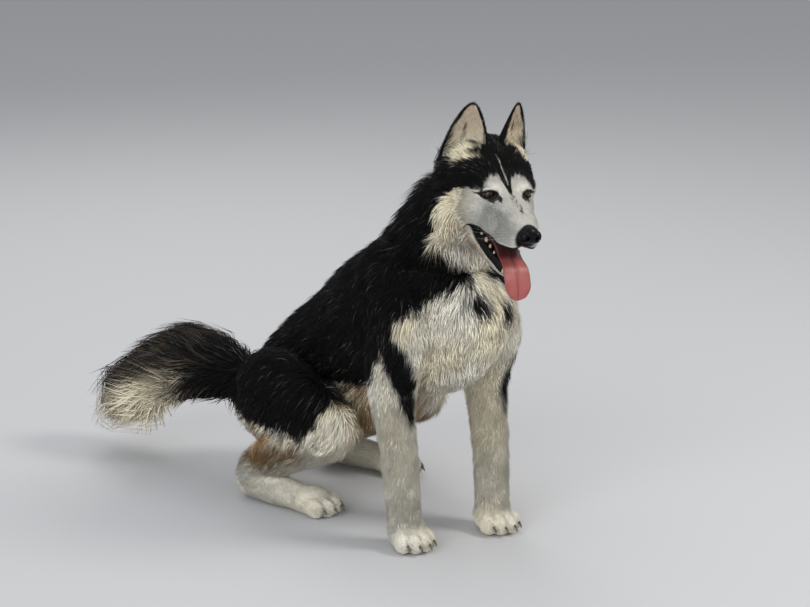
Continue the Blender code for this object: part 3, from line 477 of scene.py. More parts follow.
def paw_forms(x, y, length, hold):
    """A paw: a low rounded pad with four toes in front."""
    share, wide, tall = PAD
    forms = [ball(posed, (x, y, tall * 0.8), [size - DEPTH["paw"] for size in (length * share, wide, tall)], hold)]
    forms += [ball(posed, toe, [size - DEPTH["paw"] for size in TOE_SIZE], hold) for toe in toes(x, y, length)]
    return forms


def outline_form(top, bottom, reach):
    """A closed form between two lines of (x, z) of the head, right across it."""
    bm = bmesh.new()
    top, bottom = smooth_rows(top, 4), smooth_rows(bottom, 4)
    face = bm.faces.new([bm.verts.new(in_head(x, -reach, z)[0]) for x, z in top + bottom[:0:-1]])
    moved = bmesh.ops.extrude_face_region(bm, geom=[face])["geom"]
    across = in_head(0, 2 * reach, 0)[0] - in_head(0, 0, 0)[0]
    bmesh.ops.translate(bm, vec=across, verts=[v for v in moved if isinstance(v, bmesh.types.BMVert)])
    bmesh.ops.recalc_face_normals(bm, faces=bm.faces)
    return bm


def eye_place(way):
    """The matrix of an eye: its x axis is the gaze."""
    turned = Matrix.Rotation(way * GAZE, 4, "Z") @ Matrix.Rotation(-way * EYE_SLANT, 4, "X")
    return HEAD @ Matrix.Translation((EYE_AT.x, way * EYE_AT.y, EYE_AT.z)) @ turned


def eyeball(way, radius):
    bm = bmesh.new()
    bmesh.ops.create_uvsphere(bm, u_segments=40, v_segments=24, radius=radius)
    bmesh.ops.transform(bm, matrix=eye_place(way), verts=bm.verts)
    return bm


def seen_by_eye(points, way):
    """Points in an eye's own frame, as an array."""
    back = np.array(eye_place(way).inverted())
    return points @ back[:3, :3].T + back[:3, 3]


def almond(steps):
    """Points (y, z) round the opening of the lids."""
    half, tall = EYE_SLIT
    for i in range(steps):
        a = 2 * math.pi * i / steps
        yield half * math.cos(a), tall * math.sin(a) * (1 - 0.35 * abs(math.cos(a)))


def lid_opening(way):
    """A closed form for the slit between the lids: an almond run forwards out of the eye."""
    bm = bmesh.new()
    face = bm.faces.new([bm.verts.new((0, y, z)) for y, z in almond(36)])
    moved = bmesh.ops.extrude_face_region(bm, geom=[face])["geom"]
    bmesh.ops.translate(bm, vec=(0.045, 0, 0), verts=[v for v in moved if isinstance(v, bmesh.types.BMVert)])
    bmesh.ops.recalc_face_normals(bm, faces=bm.faces)
    bmesh.ops.transform(bm, matrix=eye_place(way), verts=bm.verts)
    return bm


forms = [
    loft(TRUNK, sides=32, depth=DEPTH["trunk"]),
    loft(NECK, sides=28, depth=DEPTH["neck"]),
    loft(BRISKET, hold="front", depth=DEPTH["brisket"]),
    loft(GROIN, depth=DEPTH["groin"]),
    loft(TAIL, hold="rear", depth=DEPTH["tail"]),
    loft(SKULL, place=in_head, cap=0.5, power=0.85, depth=DEPTH["skull"]),
    loft(JAW, place=in_head, cap=0.6, power=0.85, depth=DEPTH["jaw"]),
]
for way, sided in ((1, list), (-1, mirrored)):
    forms += [loft(sided(rows), hold=hold, depth=DEPTH[name]) for name, rows, hold in LIMBS]
    forms += paw_forms(FORE_PAW[0], way * FORE_PAW[1], FORE_PAW[2], "front")
    forms += paw_forms(HIND_PAW[0], way * HIND_PAW[1], HIND_PAW[2], "rear")
    for (x, y, z), radii, depth in HEAD_BALLS:
        forms.append(ball(in_head, (x, way * y, z), [size - depth for size in radii]))
skin = made_object("skin", forms)
fused(skin, VOXEL, SMOOTHING)
lids = made_object("lids", [eyeball(way, EYE_RADIUS + LID) for way in (1, -1)])
join = skin.modifiers.new("join", "BOOLEAN")
join.operation, join.solver, join.object = "UNION", "MANIFOLD", lids
baked(skin)
bpy.data.objects.remove(lids)

cut(skin, outline_form(MOUTH_TOP, MOUTH_BOTTOM, MOUTH_REACH))
for at, radii in MOUTH_HOLLOWS:
    cut(skin, ball(in_head, at, radii))
for way in (1, -1):
    cut(skin, lid_opening(way))
    cut(skin, eyeball(way, EYE_RADIUS + SOCKET_GAP))

spots = np.empty(len(skin.data.vertices) * 3)
skin.data.vertices.foreach_get("co", spots)
spots = spots.reshape(-1, 3)
of_face = (head_own(spots)[:, 0] > FINE_FROM) & (spots[:, 2] > FINE_ABOVE)
group = skin.vertex_groups.new(name="body")
group.add(np.flatnonzero(~of_face).tolist(), 1.0, "REPLACE")
fewer = skin.modifiers.new("fewer", "DECIMATE")
fewer.ratio, fewer.vertex_group = BODY_KEPT, "body"
baked(skin)
skin.vertex_groups.clear()
for vert in skin.data.vertices:
    vert.co.z = max(vert.co.z, SOLE)

# ---------------------------------------------------------------- the markings
# Black saddle, cap and temples over cream-white face, chest, belly and legs, with grey and tan between them.
# Places on the body are in the straight design's coordinates, places on the face in the head's own.
BLACK, GREY, SOFT_GREY = (0.005, 0.005, 0.0055), (0.070, 0.065, 0.058), (0.27, 0.27, 0.265)
WHITE, CREAM, TAN, BROWN = (0.87, 0.83, 0.72), (0.85, 0.77, 0.59), (0.36, 0.22, 0.095), (0.17, 0.115, 0.065)
FRONT_EDGE = [    # (z, x) of the saddle's front edge: it is dark behind
    (0.20, -0.110), (0.25, -0.105), (0.307, -0.084), (0.335, -0.056), (0.360, -0.042), (0.400, -0.034),
    (0.425, -0.012), (0.443, 0.012), (0.452, 0.018), (0.468, 0.013), (0.500, 0.001), (0.516, -0.004),
    (0.531, -0.018), (0.556, -0.018), (0.580, -0.010), (0.605, 0.040), (0.700, 0.060),
]
LOW_EDGE = [      # (x, z) of its lower edge: it is dark above
    (-0.60, 0.120), (-0.53, 0.124), (-0.467, 0.146), (-0.409, 0.150), (-0.352, 0.144), (-0.293, 0.141),
    (-0.262, 0.150), (-0.241, 0.169), (-0.229, 0.198), (-0.215, 0.239), (-0.150, 0.255), (-0.100, 0.280),
    (-0.070, 0.300), (-0.050, 0.318),
]
KNEE_CLEAR = 0.048                 # how much higher it is over the left knee
THROAT_EDGE = [    # (z, how far from the midline) the black of the neck's front starts: nearer in it is cream
    (0.420, -0.030), (0.445, -0.014), (0.460, -0.008), (0.476, 0.020), (0.499, 0.037), (0.524, 0.053), (0.560, 0.056),
    (0.585, 0.030), (0.605, -0.300),
]
THROAT_LEFT = 0.036                # how much further out it starts on the left
LEFT_BACK = 0.030                  # how much further back the saddle's front edge is there
CHEST_PATCHES = [((0.044, -0.014, 0.424), (0.030, 0.018, 0.015)), ((0.030, 0.060, 0.402), (0.036, 0.026, 0.018))]
LEG_STREAK = [    # (z, x, |y|, half width) of the dark streak down the front of the right foreleg
    (0.205, -0.042, 0.082, 0.000), (0.237, -0.040, 0.084, 0.015), (0.258, -0.038, 0.088, 0.020),
    (0.283, -0.032, 0.101, 0.022), (0.305, -0.032, 0.113, 0.024), (0.347, -0.040, 0.126, 0.026),
    (0.370, -0.046, 0.130, 0.000),
]
STREAK_APART = 0.026               # how much further out it is on the left one
TAN_STREAKS = [((-0.425, 0.150, 0.102), (0.062, 0.060, 0.031)), ((-0.340, 0.165, 0.112), (0.052, 0.050, 0.020))]
BELLY_TAN = ((-0.255, 0.0, 0.165), (0.120, 0.085, 0.080))
BELLY_CLEAR = (0.088, 0.232)       # no black nearer the midline and lower than this
ARM_CLEAR = (0.080, 0.350)         # the same between the forelegs
CAP_EDGE = [      # (x, z) of the black cap's lower edge on the side of the head: it is dark above
    (-0.130, -0.300), (-0.092, -0.160), (-0.082, -0.118), (-0.077, -0.088), (-0.075, -0.062), (-0.070, -0.038),
    (-0.057, -0.021), (-0.045, -0.011), (-0.020, 0.001), (-0.006, 0.0030), (0.010, 0.0030),
]
CAP_FRONT = [     # (|y|, x) of its front edge: a point down the midline, round the brow patches, to the eye
    (0.000, 0.026), (0.002, 0.014), (0.0035, 0.005), (0.005, -0.002), (0.0075, -0.010), (0.011, -0.016),
    (0.017, -0.019), (0.026, -0.020), (0.034, -0.015), (0.040, -0.010), (0.045, -0.004), (0.060, 0.006),
]
STRIPE_X, STRIPE_HALF, STRIPE_SLANT = (-0.041, -0.009), 0.0005, 0.24    # the thin white stripe on the forehead
BRIDGE_X, BRIDGE_HALF = (0.014, 0.062), 0.0045         # the dark speckled line down the bridge
CHEEK_TAN = ((-0.012, 0.042, -0.112), (0.036, 0.030, 0.015))    # below the corner of the mouth
FACE_WHITE_SHADED = (0.68, 0.66, 0.60)          # the white of the face, greyer than the chest: painted shade
MUZZLE_GREY_AND_SHADE = ((0.044, 0.032, -0.037), (0.062, 0.027, 0.029))   # side of the muzzle greyed: partly frosted fur, partly painted shade
EAR_FRONT = ((-0.086, 0.052, 0.038), (0.030, 0.024, 0.021))     # cream hair at the foot of the ear's opening
NOSE_BLACK = ((0.089, 0, -0.0370), (0.0185, 0.0210, 0.0235))    # the black skin round the nose
EYE_BLACK = (0.0034, 0.0030)       # how far the black round an eye goes past the opening, along it and across
LINER = (0.005, 0.0015, 0.0075, 0.0022)    # the dark line behind it: how far out and up, half length and half height
TEAR_BLACK = (0.002, -0.0035, 0.0045, 0.0028)    # the same of the black at its inner corner
LIP_EDGE = [      # (x, z) of the lower edge of the black lip
    (-0.036, -0.0665), (-0.033, -0.0741), (-0.0153, -0.0849), (0.0049, -0.0942), (0.0263, -0.1020), (0.041, -0.1085),
    (0.060, -0.1125), (0.090, -0.1150),
]


def step(value, blur):
    """0 to 1 as value goes from -blur to blur, smoothly."""
    t = np.clip(value / (2 * blur) + 0.5, 0, 1)
    return t * t * (3 - 2 * t)


def waves(points, size, seed):
    """Smooth noise from about -1 to 1 in patches of about size."""
    draw = np.random.default_rng(seed)
    total = np.zeros(len(points))
    for _ in range(9):
        way = draw.normal(size=3)
        way *= 2 * math.pi / (size * draw.uniform(1.2, 3.2)) / np.linalg.norm(way)
        total += np.sin(points @ way + draw.uniform(0, 2 * math.pi))
    return total / 3.2


def along_table(table, at):
    xs, ys = np.array(table).T
    return np.interp(at, xs, ys)


def blended(base, over, share):
    return base + (np.asarray(over) - base) * share[:, None]


def plain(points, colour):
    """One colour for each of the points."""
    return np.tile(np.array(colour), (len(points), 1))


def within(points, side, centre, radii):
    """How far points, mirrored to side, are from the centre of an ellipsoid, as a share of its size."""
    (cx, cy, cz), (rx, ry, rz) = centre, radii
    return np.sqrt(((points[:, 0] - cx) / rx) ** 2 + ((side - cy) / ry) ** 2 + ((points[:, 2] - cz) / rz) ** 2)


def body_markings(points):
    """Colours of the trunk, neck and legs: black saddle and leg streaks over cream, with grey or brown between."""
    body = straightened(points)
    x, side, z = body[:, 0], np.abs(body[:, 1]), body[:, 2]
    ragged = 0.006 * (waves(points, 0.012, 1) + 0.6 * waves(points, 0.004, 2))
    colour = blended(plain(points, CREAM), WHITE, step(waves(points, 0.06, 3), 1.0))
    colour = blended(colour, WHITE, 0.5 * step(0.14 - z, 0.05))
    for centre, radii in TAN_STREAKS + [BELLY_TAN]:
        away = within(body, side, centre, radii)
        colour = blended(colour, TAN, 0.95 * step(1 - away + 0.4 * waves(points, 0.010, 4), 0.5))
    higher = KNEE_CLEAR * step(body[:, 1], 0.02) * step(-0.195 - x, 0.015) * step(x + 0.33, 0.04)
    further = LEFT_BACK * step(body[:, 1] - 0.03, 0.03) * step(0.45 - z, 0.02) * step(z - 0.35, 0.02)
    dark = np.minimum(along_table(FRONT_EDGE, z) - further - x, z - along_table(LOW_EDGE, x) - higher) + ragged
    belly = np.maximum(np.maximum(side - BELLY_CLEAR[0], z - BELLY_CLEAR[1]), -0.40 - x)
    arms = np.maximum(np.maximum(side - ARM_CLEAR[0], z - ARM_CLEAR[1]), -0.17 - x)
    throat = side - THROAT_LEFT * (body[:, 1] > 0) * step(0.49 - z, 0.02)
    throat = np.maximum(throat - along_table(THROAT_EDGE, z), -0.085 - x) + 0.5 * ragged
    dark = np.minimum(np.minimum(dark, throat), np.minimum(belly, arms))
    for centre, radii in CHEST_PATCHES:
        dark = np.maximum(dark, 0.02 * (1 - within(body, body[:, 1], centre, radii)) + ragged)
    heights, xs, sides, halves = np.array(LEG_STREAK).T
    out = side - STREAK_APART * (body[:, 1] > 0) - np.interp(z, heights, sides)
    half = np.interp(z, heights, halves)
    streak = np.where(half > 0, half - np.hypot(x - np.interp(z, heights, xs), out), -1.0)
    dark = np.maximum(dark, streak + 0.6 * ragged)
    colour = blended(colour, np.where((x < -0.2)[:, None], BROWN, SOFT_GREY), 0.6 * step(dark + 0.006, 0.010))
    return blended(colour, BLACK, step(dark, 0.007))


def face_markings(points):
    """Colours of the head: black cap with a stripe, white brows, cheeks and muzzle, black round the eyes."""
    face = head_own(points)
    x, side, z = face[:, 0], np.abs(face[:, 1]), face[:, 2]
    ragged = 0.0020 * (waves(points, 0.006, 5) + 0.5 * waves(points, 0.0025, 6))
    # the face's white is darker than the chest's: painted shade
    colour = plain(points, FACE_WHITE_SHADED)
    colour = blended(colour, CREAM, step(side - 0.050, 0.02) * step(-0.02 - x, 0.03))
    away = within(face, side, *CHEEK_TAN)
    colour = blended(colour, TAN, 0.55 * step(1 - away + 0.4 * waves(points, 0.010, 4), 0.5))
    under = along_table(LIP_EDGE, x) - z
    lip_side = step(under, 0.003) * step(0.018 - under, 0.010) * step(x + 0.050, 0.015) * step(0.050 - x, 0.020)
    colour = blended(colour, TAN, 0.38 * lip_side * step(0.5 + waves(points, 0.008, 19), 0.8))
    # the side of the muzzle greyed: partly frosted fur, partly painted shade
    away = within(face, side, *MUZZLE_GREY_AND_SHADE)
    colour = blended(colour, SOFT_GREY, 0.60 * step(1 - away + 0.15 * waves(points, 0.010, 17), 0.40))
    cap = np.minimum(z - along_table(CAP_EDGE, x), along_table(CAP_FRONT, side) - x) + ragged
    colour = blended(colour, SOFT_GREY, 0.45 * step(cap + 0.003, 0.003) * step(z - 0.002, 0.004))
    colour = blended(colour, BLACK, step(cap, 0.0018))
    away = within(face, side, *EAR_FRONT)
    colour = blended(colour, CREAM, step(1 - away + 0.25 * waves(points, 0.006, 18), 0.25))
    aside = np.abs(face[:, 1] - 0.001 - STRIPE_SLANT * (x - STRIPE_X[1]))
    stripe = np.minimum(STRIPE_HALF - aside, np.minimum(x - STRIPE_X[0], STRIPE_X[1] - x) * 0.2)
    colour = blended(colour, WHITE, 0.6 * step(stripe + 0.0004, 0.0008) * step(z + 0.02, 0.01))
    bridge = np.minimum(BRIDGE_HALF - side, np.minimum(x - BRIDGE_X[0], BRIDGE_X[1] - x) * 0.2)
    speckle = np.clip(0.15 + 1.1 * waves(points, 0.0035, 7), 0, 1)
    colour = blended(colour, GREY, speckle * step(bridge, 0.0015) * step(z + 0.035, 0.01))
    for way in (1, -1):
        seen = seen_by_eye(points, way)
        half, tall = EYE_SLIT
        rim = 1 - np.hypot(seen[:, 1] / (half + EYE_BLACK[0]), seen[:, 2] / (tall + EYE_BLACK[1]))
        for end, (out, up, along, across) in ((way, LINER), (-way, TEAR_BLACK)):
            patch = np.hypot((seen[:, 1] - end * (half + out)) / along, (seen[:, 2] - up) / across)
            rim = np.maximum(rim, 1 - patch)
        colour = blended(colour, BLACK, 0.96 * step(rim + 0.04 * waves(points, 0.004, 12), 0.08) * (seen[:, 0] > 0))
    lips = np.minimum(along_table(MOUTH_TOP, x) + 0.0014 - z, z - along_table(LIP_EDGE, x))
    lips = np.minimum(np.minimum(lips, x + 0.036), 0.050 - side)
    black = np.maximum(step(lips, 0.0012), step(1 - within(face, face[:, 1], *NOSE_BLACK), 0.10))
    return blended(colour, BLACK, black * (x > -0.04))


def markings(points):
    """The coat's colour at points, as an array of RGB."""
    face = head_own(points)
    of_head = step(face[:, 0] + 0.105, 0.015) * step(face[:, 2] + 0.135, 0.012) * step(points[:, 2] - 0.44, 0.01)
    return blended(body_markings(points), face_markings(points), of_head)


def tail_markings(points, share, height):
    """The tail's colour: black at the root, grizzled above, cream below and at the tip."""
    grizzle = blended(plain(points, GREY), BROWN, 0.6 * step(waves(points, 0.02, 8), 0.7))
    grizzle = blended(grizzle, BLACK, 0.85 * step(waves(points, 0.009, 14) + 0.1, 0.5))
    cream = blended(plain(points, CREAM), TAN, 0.35 * step(waves(points, 0.012, 15) - 0.4, 0.4))
    low = step(share - 0.42 + 0.08 * waves(points, 0.02, 16), 0.10) * step(0.05 * (share - 0.45) - height, 0.012)
    colour = blended(grizzle, cream, np.maximum(low, step(share - 0.93, 0.05)))
    return blended(colour, BLACK, step(0.34 - share + 0.05 * waves(points, 0.02, 9), 0.09))


# ---------------------------------------------------------------- the lie of the coat
# Hair runs from the nose back over the head and trunk, and down the chest, legs and tail.  Each form of the body
# gives the coat near it its own lie, length, width, height and density.
COAT = {    # the way along its rows, the fall (x, z), length, width, height of the tips, area for each tuft
    "trunk": (-1, (-0.2, -0.35), 0.036, 0.0021, 0.0115, 7.4e-6),
    "neck": (-1, (-0.2, -0.30), 0.046, 0.0020, 0.0150, 5.6e-6),
    "brisket": (-1, (-0.2, -0.80), 0.030, 0.0017, 0.0095, 5.0e-6),
    "arm": (1, (-0.2, -0.20), 0.026, 0.0016, 0.0080, 4.8e-6),
    "foreleg": (1, (0.0, -0.30), 0.019, 0.0013, 0.0056, 2.9e-6),
    "groin": (0, (-0.20, -1.0), 0.066, 0.0017, 0.0150, 4.6e-6),
    "thigh": (0, (-0.45, -1.0), 0.036, 0.0020, 0.0125, 6.2e-6),
    "shank": (1, (-0.2, -0.40), 0.027, 0.0016, 0.0080, 3.6e-6),
    "foot": (1, (0.0, -0.20), 0.015, 0.0012, 0.0044, 2.9e-6),
    "paw": (0, (1.0, -0.35), 0.008, 0.0010, 0.0023, 2.4e-6),
    "tail": (1, (0.0, 0.06), 0.110, 0.0022, 0.0400, 2.4e-6),
    "head": (0, (-1.0, 0.0), 0.010, 0.0010, 0.0034, 1.8e-6),
}
HEAD_LENGTHS = [(-0.130, 0.030), (-0.090, 0.023), (-0.060, 0.015), (-0.030, 0.009), (0.0, 0.0062), (0.040, 0.0048),
                (0.090, 0.0040)]                                         # (x, length)
# width, height of the tips and area for each tuft of the head: at no length, and more for each metre of it
HEAD_WIDTH, HEAD_STAND, HEAD_AREA = (0.0008, 0.024), (0.0018, 0.22), (1.3e-6, 7.0e-5)
NAPE = ((-0.125, 0.025, -0.020), (0.045, 0.055, 0.045))    # where the ruff stands out behind the ears
NAPE_MORE = (0.008, 0.009)         # how much longer it is there, and how much higher it stands
HANGING, HANGING_MORE = 0.36, (0.032, 0.005)    # the same of the brisket's hair lower than this
PIECES = {    # the forms whose tufts a piece holds, on which side (0 is both), and in how many lengths a tuft bends
    "coat_face_left": (("face",), 1, 1), "coat_face_right": (("face",), -1, 1),
    "coat_head_left": (("head",), 1, 2), "coat_head_right": (("head",), -1, 2),
    "coat_neck_left": (("neck",), 1, 2), "coat_neck_right": (("neck",), -1, 2),
    "coat_chest_left": (("brisket", "arm"), 1, 2), "coat_chest_right": (("brisket", "arm"), -1, 2),
    "coat_belly": (("groin",), 0, 2),
    "coat_back_left": (("trunk",), 1, 2), "coat_back_right": (("trunk",), -1, 2),
    "coat_thigh_left": (("thigh",), 1, 2), "coat_thigh_right": (("thigh",), -1, 2),
    "coat_forelegs": (("foreleg",), 0, 1), "coat_hind_legs": (("shank", "foot"), 0, 1), "coat_paws": (("paw",), 0, 1),
    "coat_tail_left": (("tail",), 1, 2), "coat_tail_right": (("tail",), -1, 2),
}
FACE_FROM = -0.030                 # the short coat of the face starts this far along the head

axes = [
    ("trunk", TRUNK, posed, None), ("neck", NECK, posed, None), ("brisket", BRISKET, posed, "front"),
    ("groin", GROIN, posed, None), ("tail", TAIL, posed, "rear"),
    ("head", SKULL, in_head, None), ("head", JAW, in_head, None),
]
for sided in (list, mirrored):
    axes += [(name, sided(rows), posed, hold) for name, rows, hold in LIMBS]
for (x, y, length), hold in ((FORE_PAW, "front"), (HIND_PAW, "rear")):
    for way in (1, -1):
        paw = [(x + length * share, way * y, 0.020, 0.034, 0.026, 0.026) for share in (-0.1, 0.2, 0.5)]
        axes.append(("paw", paw, posed, hold))


def sampled_axes():
    """Name, middle, radius and lie of the coat at many places along every form."""
    names, middles, radii, lies, shares = [], [], [], [], []
    for name, rows, place, hold in axes:
        sense, (fall_x, fall_z), *_ = COAT[name]
        rows = smooth_rows(rows, 6)
        spots = [place(*r[:3], hold)[0] for r in rows]
        for i, r in enumerate(rows):
            along = (spots[min(i + 1, len(rows) - 1)] - spots[max(i - 1, 0)]).normalized()
            forward = (place(r[0] + 0.001, *r[1:3], hold)[0] - spots[i]).normalized()
            names.append(name)
            middles.append(spots[i])
            radii.append(sum(r[3:]) / 3)
            lies.append(along * sense + forward * fall_x + Vector((0, 0, fall_z)))
            shares.append(i / (len(rows) - 1))
    return np.array(names), np.array(middles), np.array(radii), np.array(lies), np.array(shares)


def coat_field(points, normals):
    """For each point: the form it belongs to, the lie, (length, width, height, area) and the share along the form."""
    names, middles, radii, lies, shares = sampled_axes()
    kinds = list(COAT)
    sizes = np.array([COAT[kind][2:] for kind in kinds])
    kind_of = np.array([kinds.index(name) for name in names])
    best_kind, lie = np.zeros(len(points), int), np.zeros((len(points), 3))
    share, values = np.zeros(len(points)), np.zeros((len(points), 4))
    for part in np.array_split(np.arange(len(points)), max(1, len(points) // 8000)):
        near = np.linalg.norm(points[part, None] - middles, axis=2) / radii
        closest = near.argmin(1)
        best_kind[part], share[part] = kind_of[closest], shares[closest]
        weight = np.exp(-9 * (near - near.min(1)[:, None]))
        weight /= weight.sum(1)[:, None]
        lie[part] = weight @ lies
        values[part] = weight @ sizes[kind_of]
    kind = np.array(kinds)[best_kind]
    body = straightened(points)
    faced = np.maximum(
        step(normals @ np.array(ahead(FRONT_TURN)) - 0.45, 0.30),
        step(body[:, 0] + 0.02, 0.02) * step(0.50 - body[:, 2], 0.03),
    )
    faced *= np.isin(kind, ("trunk", "neck", "brisket", "arm"))
    lie = blended(lie, (0, 0, -1.3), faced)
    own = head_own(points)
    side = np.sign(own[:, 1])
    cheek = step(np.abs(own[:, 1]) - 0.040, 0.02) * step(-0.01 - own[:, 0], 0.03)
    way = np.stack([-np.ones(len(points)), side * (0.25 + 0.3 * cheek), -0.15 - 0.75 * cheek * (own[:, 2] < 0.02)], 1)
    way[:, 2] += 0.5 * step(own[:, 0], 0.02) * (own[:, 2] < -0.02)
    turned = way @ np.array(HEAD.to_3x3()).T
    longer = along_table(HEAD_LENGTHS, own[:, 0]) * (1 + 0.4 * cheek)
    grown = [base + more * longer for base, more in (HEAD_WIDTH, HEAD_STAND, HEAD_AREA)]
    head_values = np.stack([longer, *grown], 1)
    of_head = (kind == "head")[:, None]
    lie, values = np.where(of_head, turned, lie), np.where(of_head, head_values, values)
    nape = step(1.25 - within(own, np.abs(own[:, 1]), *NAPE), 0.35)
    hanging = step(HANGING - points[:, 2], 0.03) * (kind == "brisket")
    values[:, 0] += NAPE_MORE[0] * nape + HANGING_MORE[0] * hanging
    values[:, 2] += NAPE_MORE[1] * nape + HANGING_MORE[1] * hanging
    root = step(0.34 - share, 0.10) * (kind == "tail") * (normals[:, 2] < 0.2)
    lie = lie + np.array((0, 0, -0.9)) * root[:, None]
    kind[(kind == "head") & (own[:, 0] > FACE_FROM)] = "face"
    lie -= normals * (lie * normals).sum(1)[:, None]
    lie /= np.linalg.norm(lie, axis=1)[:, None] + 1e-9
    return kind, lie, values, share


# ---------------------------------------------------------------- the skin's finish and its unwrap
# Thin hide in the coat's own colours, a little darker, with dull red gums and palate darkened partly as painted
# shade, and black lips inside.
MOUTH_RED_AND_SHADE, LIP_BLACK = (0.085, 0.022, 0.022), (0.010, 0.009, 0.009)
MOUTH_EDGE = 0.0008                # how far the lining's colour goes past the edges of the opening
HIDE_SHADE = 0.8                   # the hide's colour as a share of the hair's
skin.data.materials.clear()


def unwrapped(obj, margin):
    """Unwraps obj by its own shape, with a margin round its islands."""
    bpy.ops.object.select_all(action="DESELECT")
    bpy.context.view_layer.objects.active = obj
    obj.select_set(True)
    bpy.ops.object.mode_set(mode="EDIT")
    bpy.ops.mesh.select_all(action="SELECT")
    bpy.ops.uv.smart_project(angle_limit=math.radians(66), island_margin=margin)
    bpy.ops.object.mode_set(mode="OBJECT")
    obj.data.uv_layers[0].name = "OFBake"
    obj.data.shade_smooth()


unwrapped(skin, 0.001)


def arrays(mesh):
    """Points, normals, corners of the triangles and their UVs, in the same order on each run."""
    mesh.calc_loop_triangles()
    points, normals = np.empty(len(mesh.vertices) * 3), np.empty(len(mesh.vertices) * 3)
    mesh.vertices.foreach_get("co", points)
    mesh.vertices.foreach_get("normal", normals)
    corners, loops = np.empty(len(mesh.loop_triangles) * 3, int), np.empty(len(mesh.loop_triangles) * 3, int)
    mesh.loop_triangles.foreach_get("vertices", corners)
    mesh.loop_triangles.foreach_get("loops", loops)
    uvs = np.empty(len(mesh.loops) * 2)
    mesh.uv_layers[0].data.foreach_get("uv", uvs)
    corners, uvs = corners.reshape(-1, 3), uvs.reshape(-1, 2)[loops].reshape(-1, 3, 2)
    turn = (corners.argmin(1)[:, None] + np.arange(3)) % 3    # each triangle from its lowest corner on
    corners = np.take_along_axis(corners, turn, 1)
    uvs = np.take_along_axis(uvs, turn[:, :, None], 1)
    order = np.lexsort(corners.T[::-1])
    return points.reshape(-1, 3), normals.reshape(-1, 3), corners[order], uvs[order]


def coloured(mesh, colours):
    """Stores a colour for each vertex, for the material to read."""
    layer = mesh.color_attributes.new("coat", "FLOAT_COLOR", "POINT")
    layer.data.foreach_set("color", np.concatenate([colours, np.ones((len(colours), 1))], 1).ravel())


hide_points, hide_normals, hide_corners, hide_uvs = arrays(skin.data)
kind, lie, values, share = coat_field(hide_points, hide_normals)
own = head_own(hide_points)
names, middles, *_ = sampled_axes()
tail_line = middles[names == "tail"]


def tail_height(points):
    """How far above the tail's middle line each point is."""
    away = ((points[:, None] - tail_line) ** 2).sum(2).argmin(1)
    return points[:, 2] - tail_line[away, 2]


on_tail = kind == "tail"
hide_colours = markings(hide_points)
hide_colours[on_tail] = tail_markings(hide_points[on_tail], share[on_tail], tail_height(hide_points[on_tail]))
in_mouth = (own[:, 2] < along_table(MOUTH_TOP, own[:, 0]) + MOUTH_EDGE) & (own[:, 0] > -0.031)
in_mouth &= (own[:, 2] > along_table(MOUTH_BOTTOM, own[:, 0]) - MOUTH_EDGE) & (np.abs(own[:, 1]) < 0.045)
for at, radii in MOUTH_HOLLOWS:
    in_mouth |= within(own, own[:, 1], at, radii) < 1.05
# inside the mouth: dark red, partly painted shade, black towards the lips
inside = blended(plain(own, MOUTH_RED_AND_SHADE), LIP_BLACK, step(np.abs(own[:, 1]) - 0.018, 0.003))
coloured(skin.data, np.where(in_mouth[:, None], inside, hide_colours * HIDE_SHADE))


def roughened(made, shader, scale, depth, cells=False):
    """Adds fine relief and uneven gloss: grain of scale per metre, or small cells as on leather."""
    nodes, links = made.node_tree.nodes, made.node_tree.links
    spot = nodes.new("ShaderNodeTexCoord")
    grain = nodes.new("ShaderNodeTexVoronoi" if cells else "ShaderNodeTexNoise")
    grain.inputs["Scale"].default_value = scale
    bump = nodes.new("ShaderNodeBump")
    bump.inputs["Strength"].default_value, bump.inputs["Distance"].default_value = 0.6, depth
    bump.invert = cells
    links.new(spot.outputs["Object"], grain.inputs["Vector"])
    links.new(grain.outputs["Distance" if cells else "Fac"], bump.inputs["Height"])
    links.new(bump.outputs["Normal"], shader.inputs["Normal"])
    rough = shader.inputs["Roughness"].default_value
    level = nodes.new("ShaderNodeMapRange")
    level.inputs["To Min"].default_value, level.inputs["To Max"].default_value = rough * 0.75, min(rough * 1.25, 1)
    links.new(grain.outputs["Distance" if cells else "Fac"], level.inputs["Value"])
    links.new(level.outputs["Result"], shader.inputs["Roughness"])


def glossed(shader, coat, rough, specular=0.5):
    """A moist film of this strength and roughness over a surface of this gloss."""
    shader.inputs["Coat Weight"].default_value, shader.inputs["Coat Roughness"].default_value = coat, rough
    shader.inputs["Specular IOR Level"].default_value = specular


def coat_material(name, rough, grain, relief=0.0):
    """Hair or hide that takes its colour from the markings, with fine streaks."""
    made, shader = material(name, WHITE, rough)
    nodes, links = made.node_tree.nodes, made.node_tree.links
    colour = nodes.new("ShaderNodeAttribute")
    colour.attribute_name = "coat"
    spot = nodes.new("ShaderNodeTexCoord")
    noise = nodes.new("ShaderNodeTexNoise")
    noise.inputs["Scale"].default_value, noise.inputs["Detail"].default_value = grain, 4.0
    level = nodes.new("ShaderNodeMapRange")
    level.inputs["To Min"].default_value, level.inputs["To Max"].default_value = 0.78, 1.20
    mix = nodes.new("ShaderNodeMix")
    mix.data_type, mix.blend_type = "RGBA", "MULTIPLY"
    mix.inputs["Factor"].default_value = 1.0
    links.new(spot.outputs["Object"], noise.inputs["Vector"])
    links.new(noise.outputs["Fac"], level.inputs["Value"])
    links.new(colour.outputs["Color"], mix.inputs["A"])
    links.new(level.outputs["Result"], mix.inputs["B"])
    links.new(mix.outputs["Result"], shader.inputs["Base Color"])
    shader.inputs["Specular IOR Level"].default_value = 0.11
    if relief:
        roughened(made, shader, grain * 4, relief)
    return made


skin.data.materials.append(coat_material("hide", 0.75, 160.0, 0.0006))
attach(skin, "root")
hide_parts("torso", "neck", "head", "lower_jaw", "foreleg_left", "foreleg_right", "thigh_left", "thigh_right",
            "hind_leg_left", "hind_leg_right", "tail")

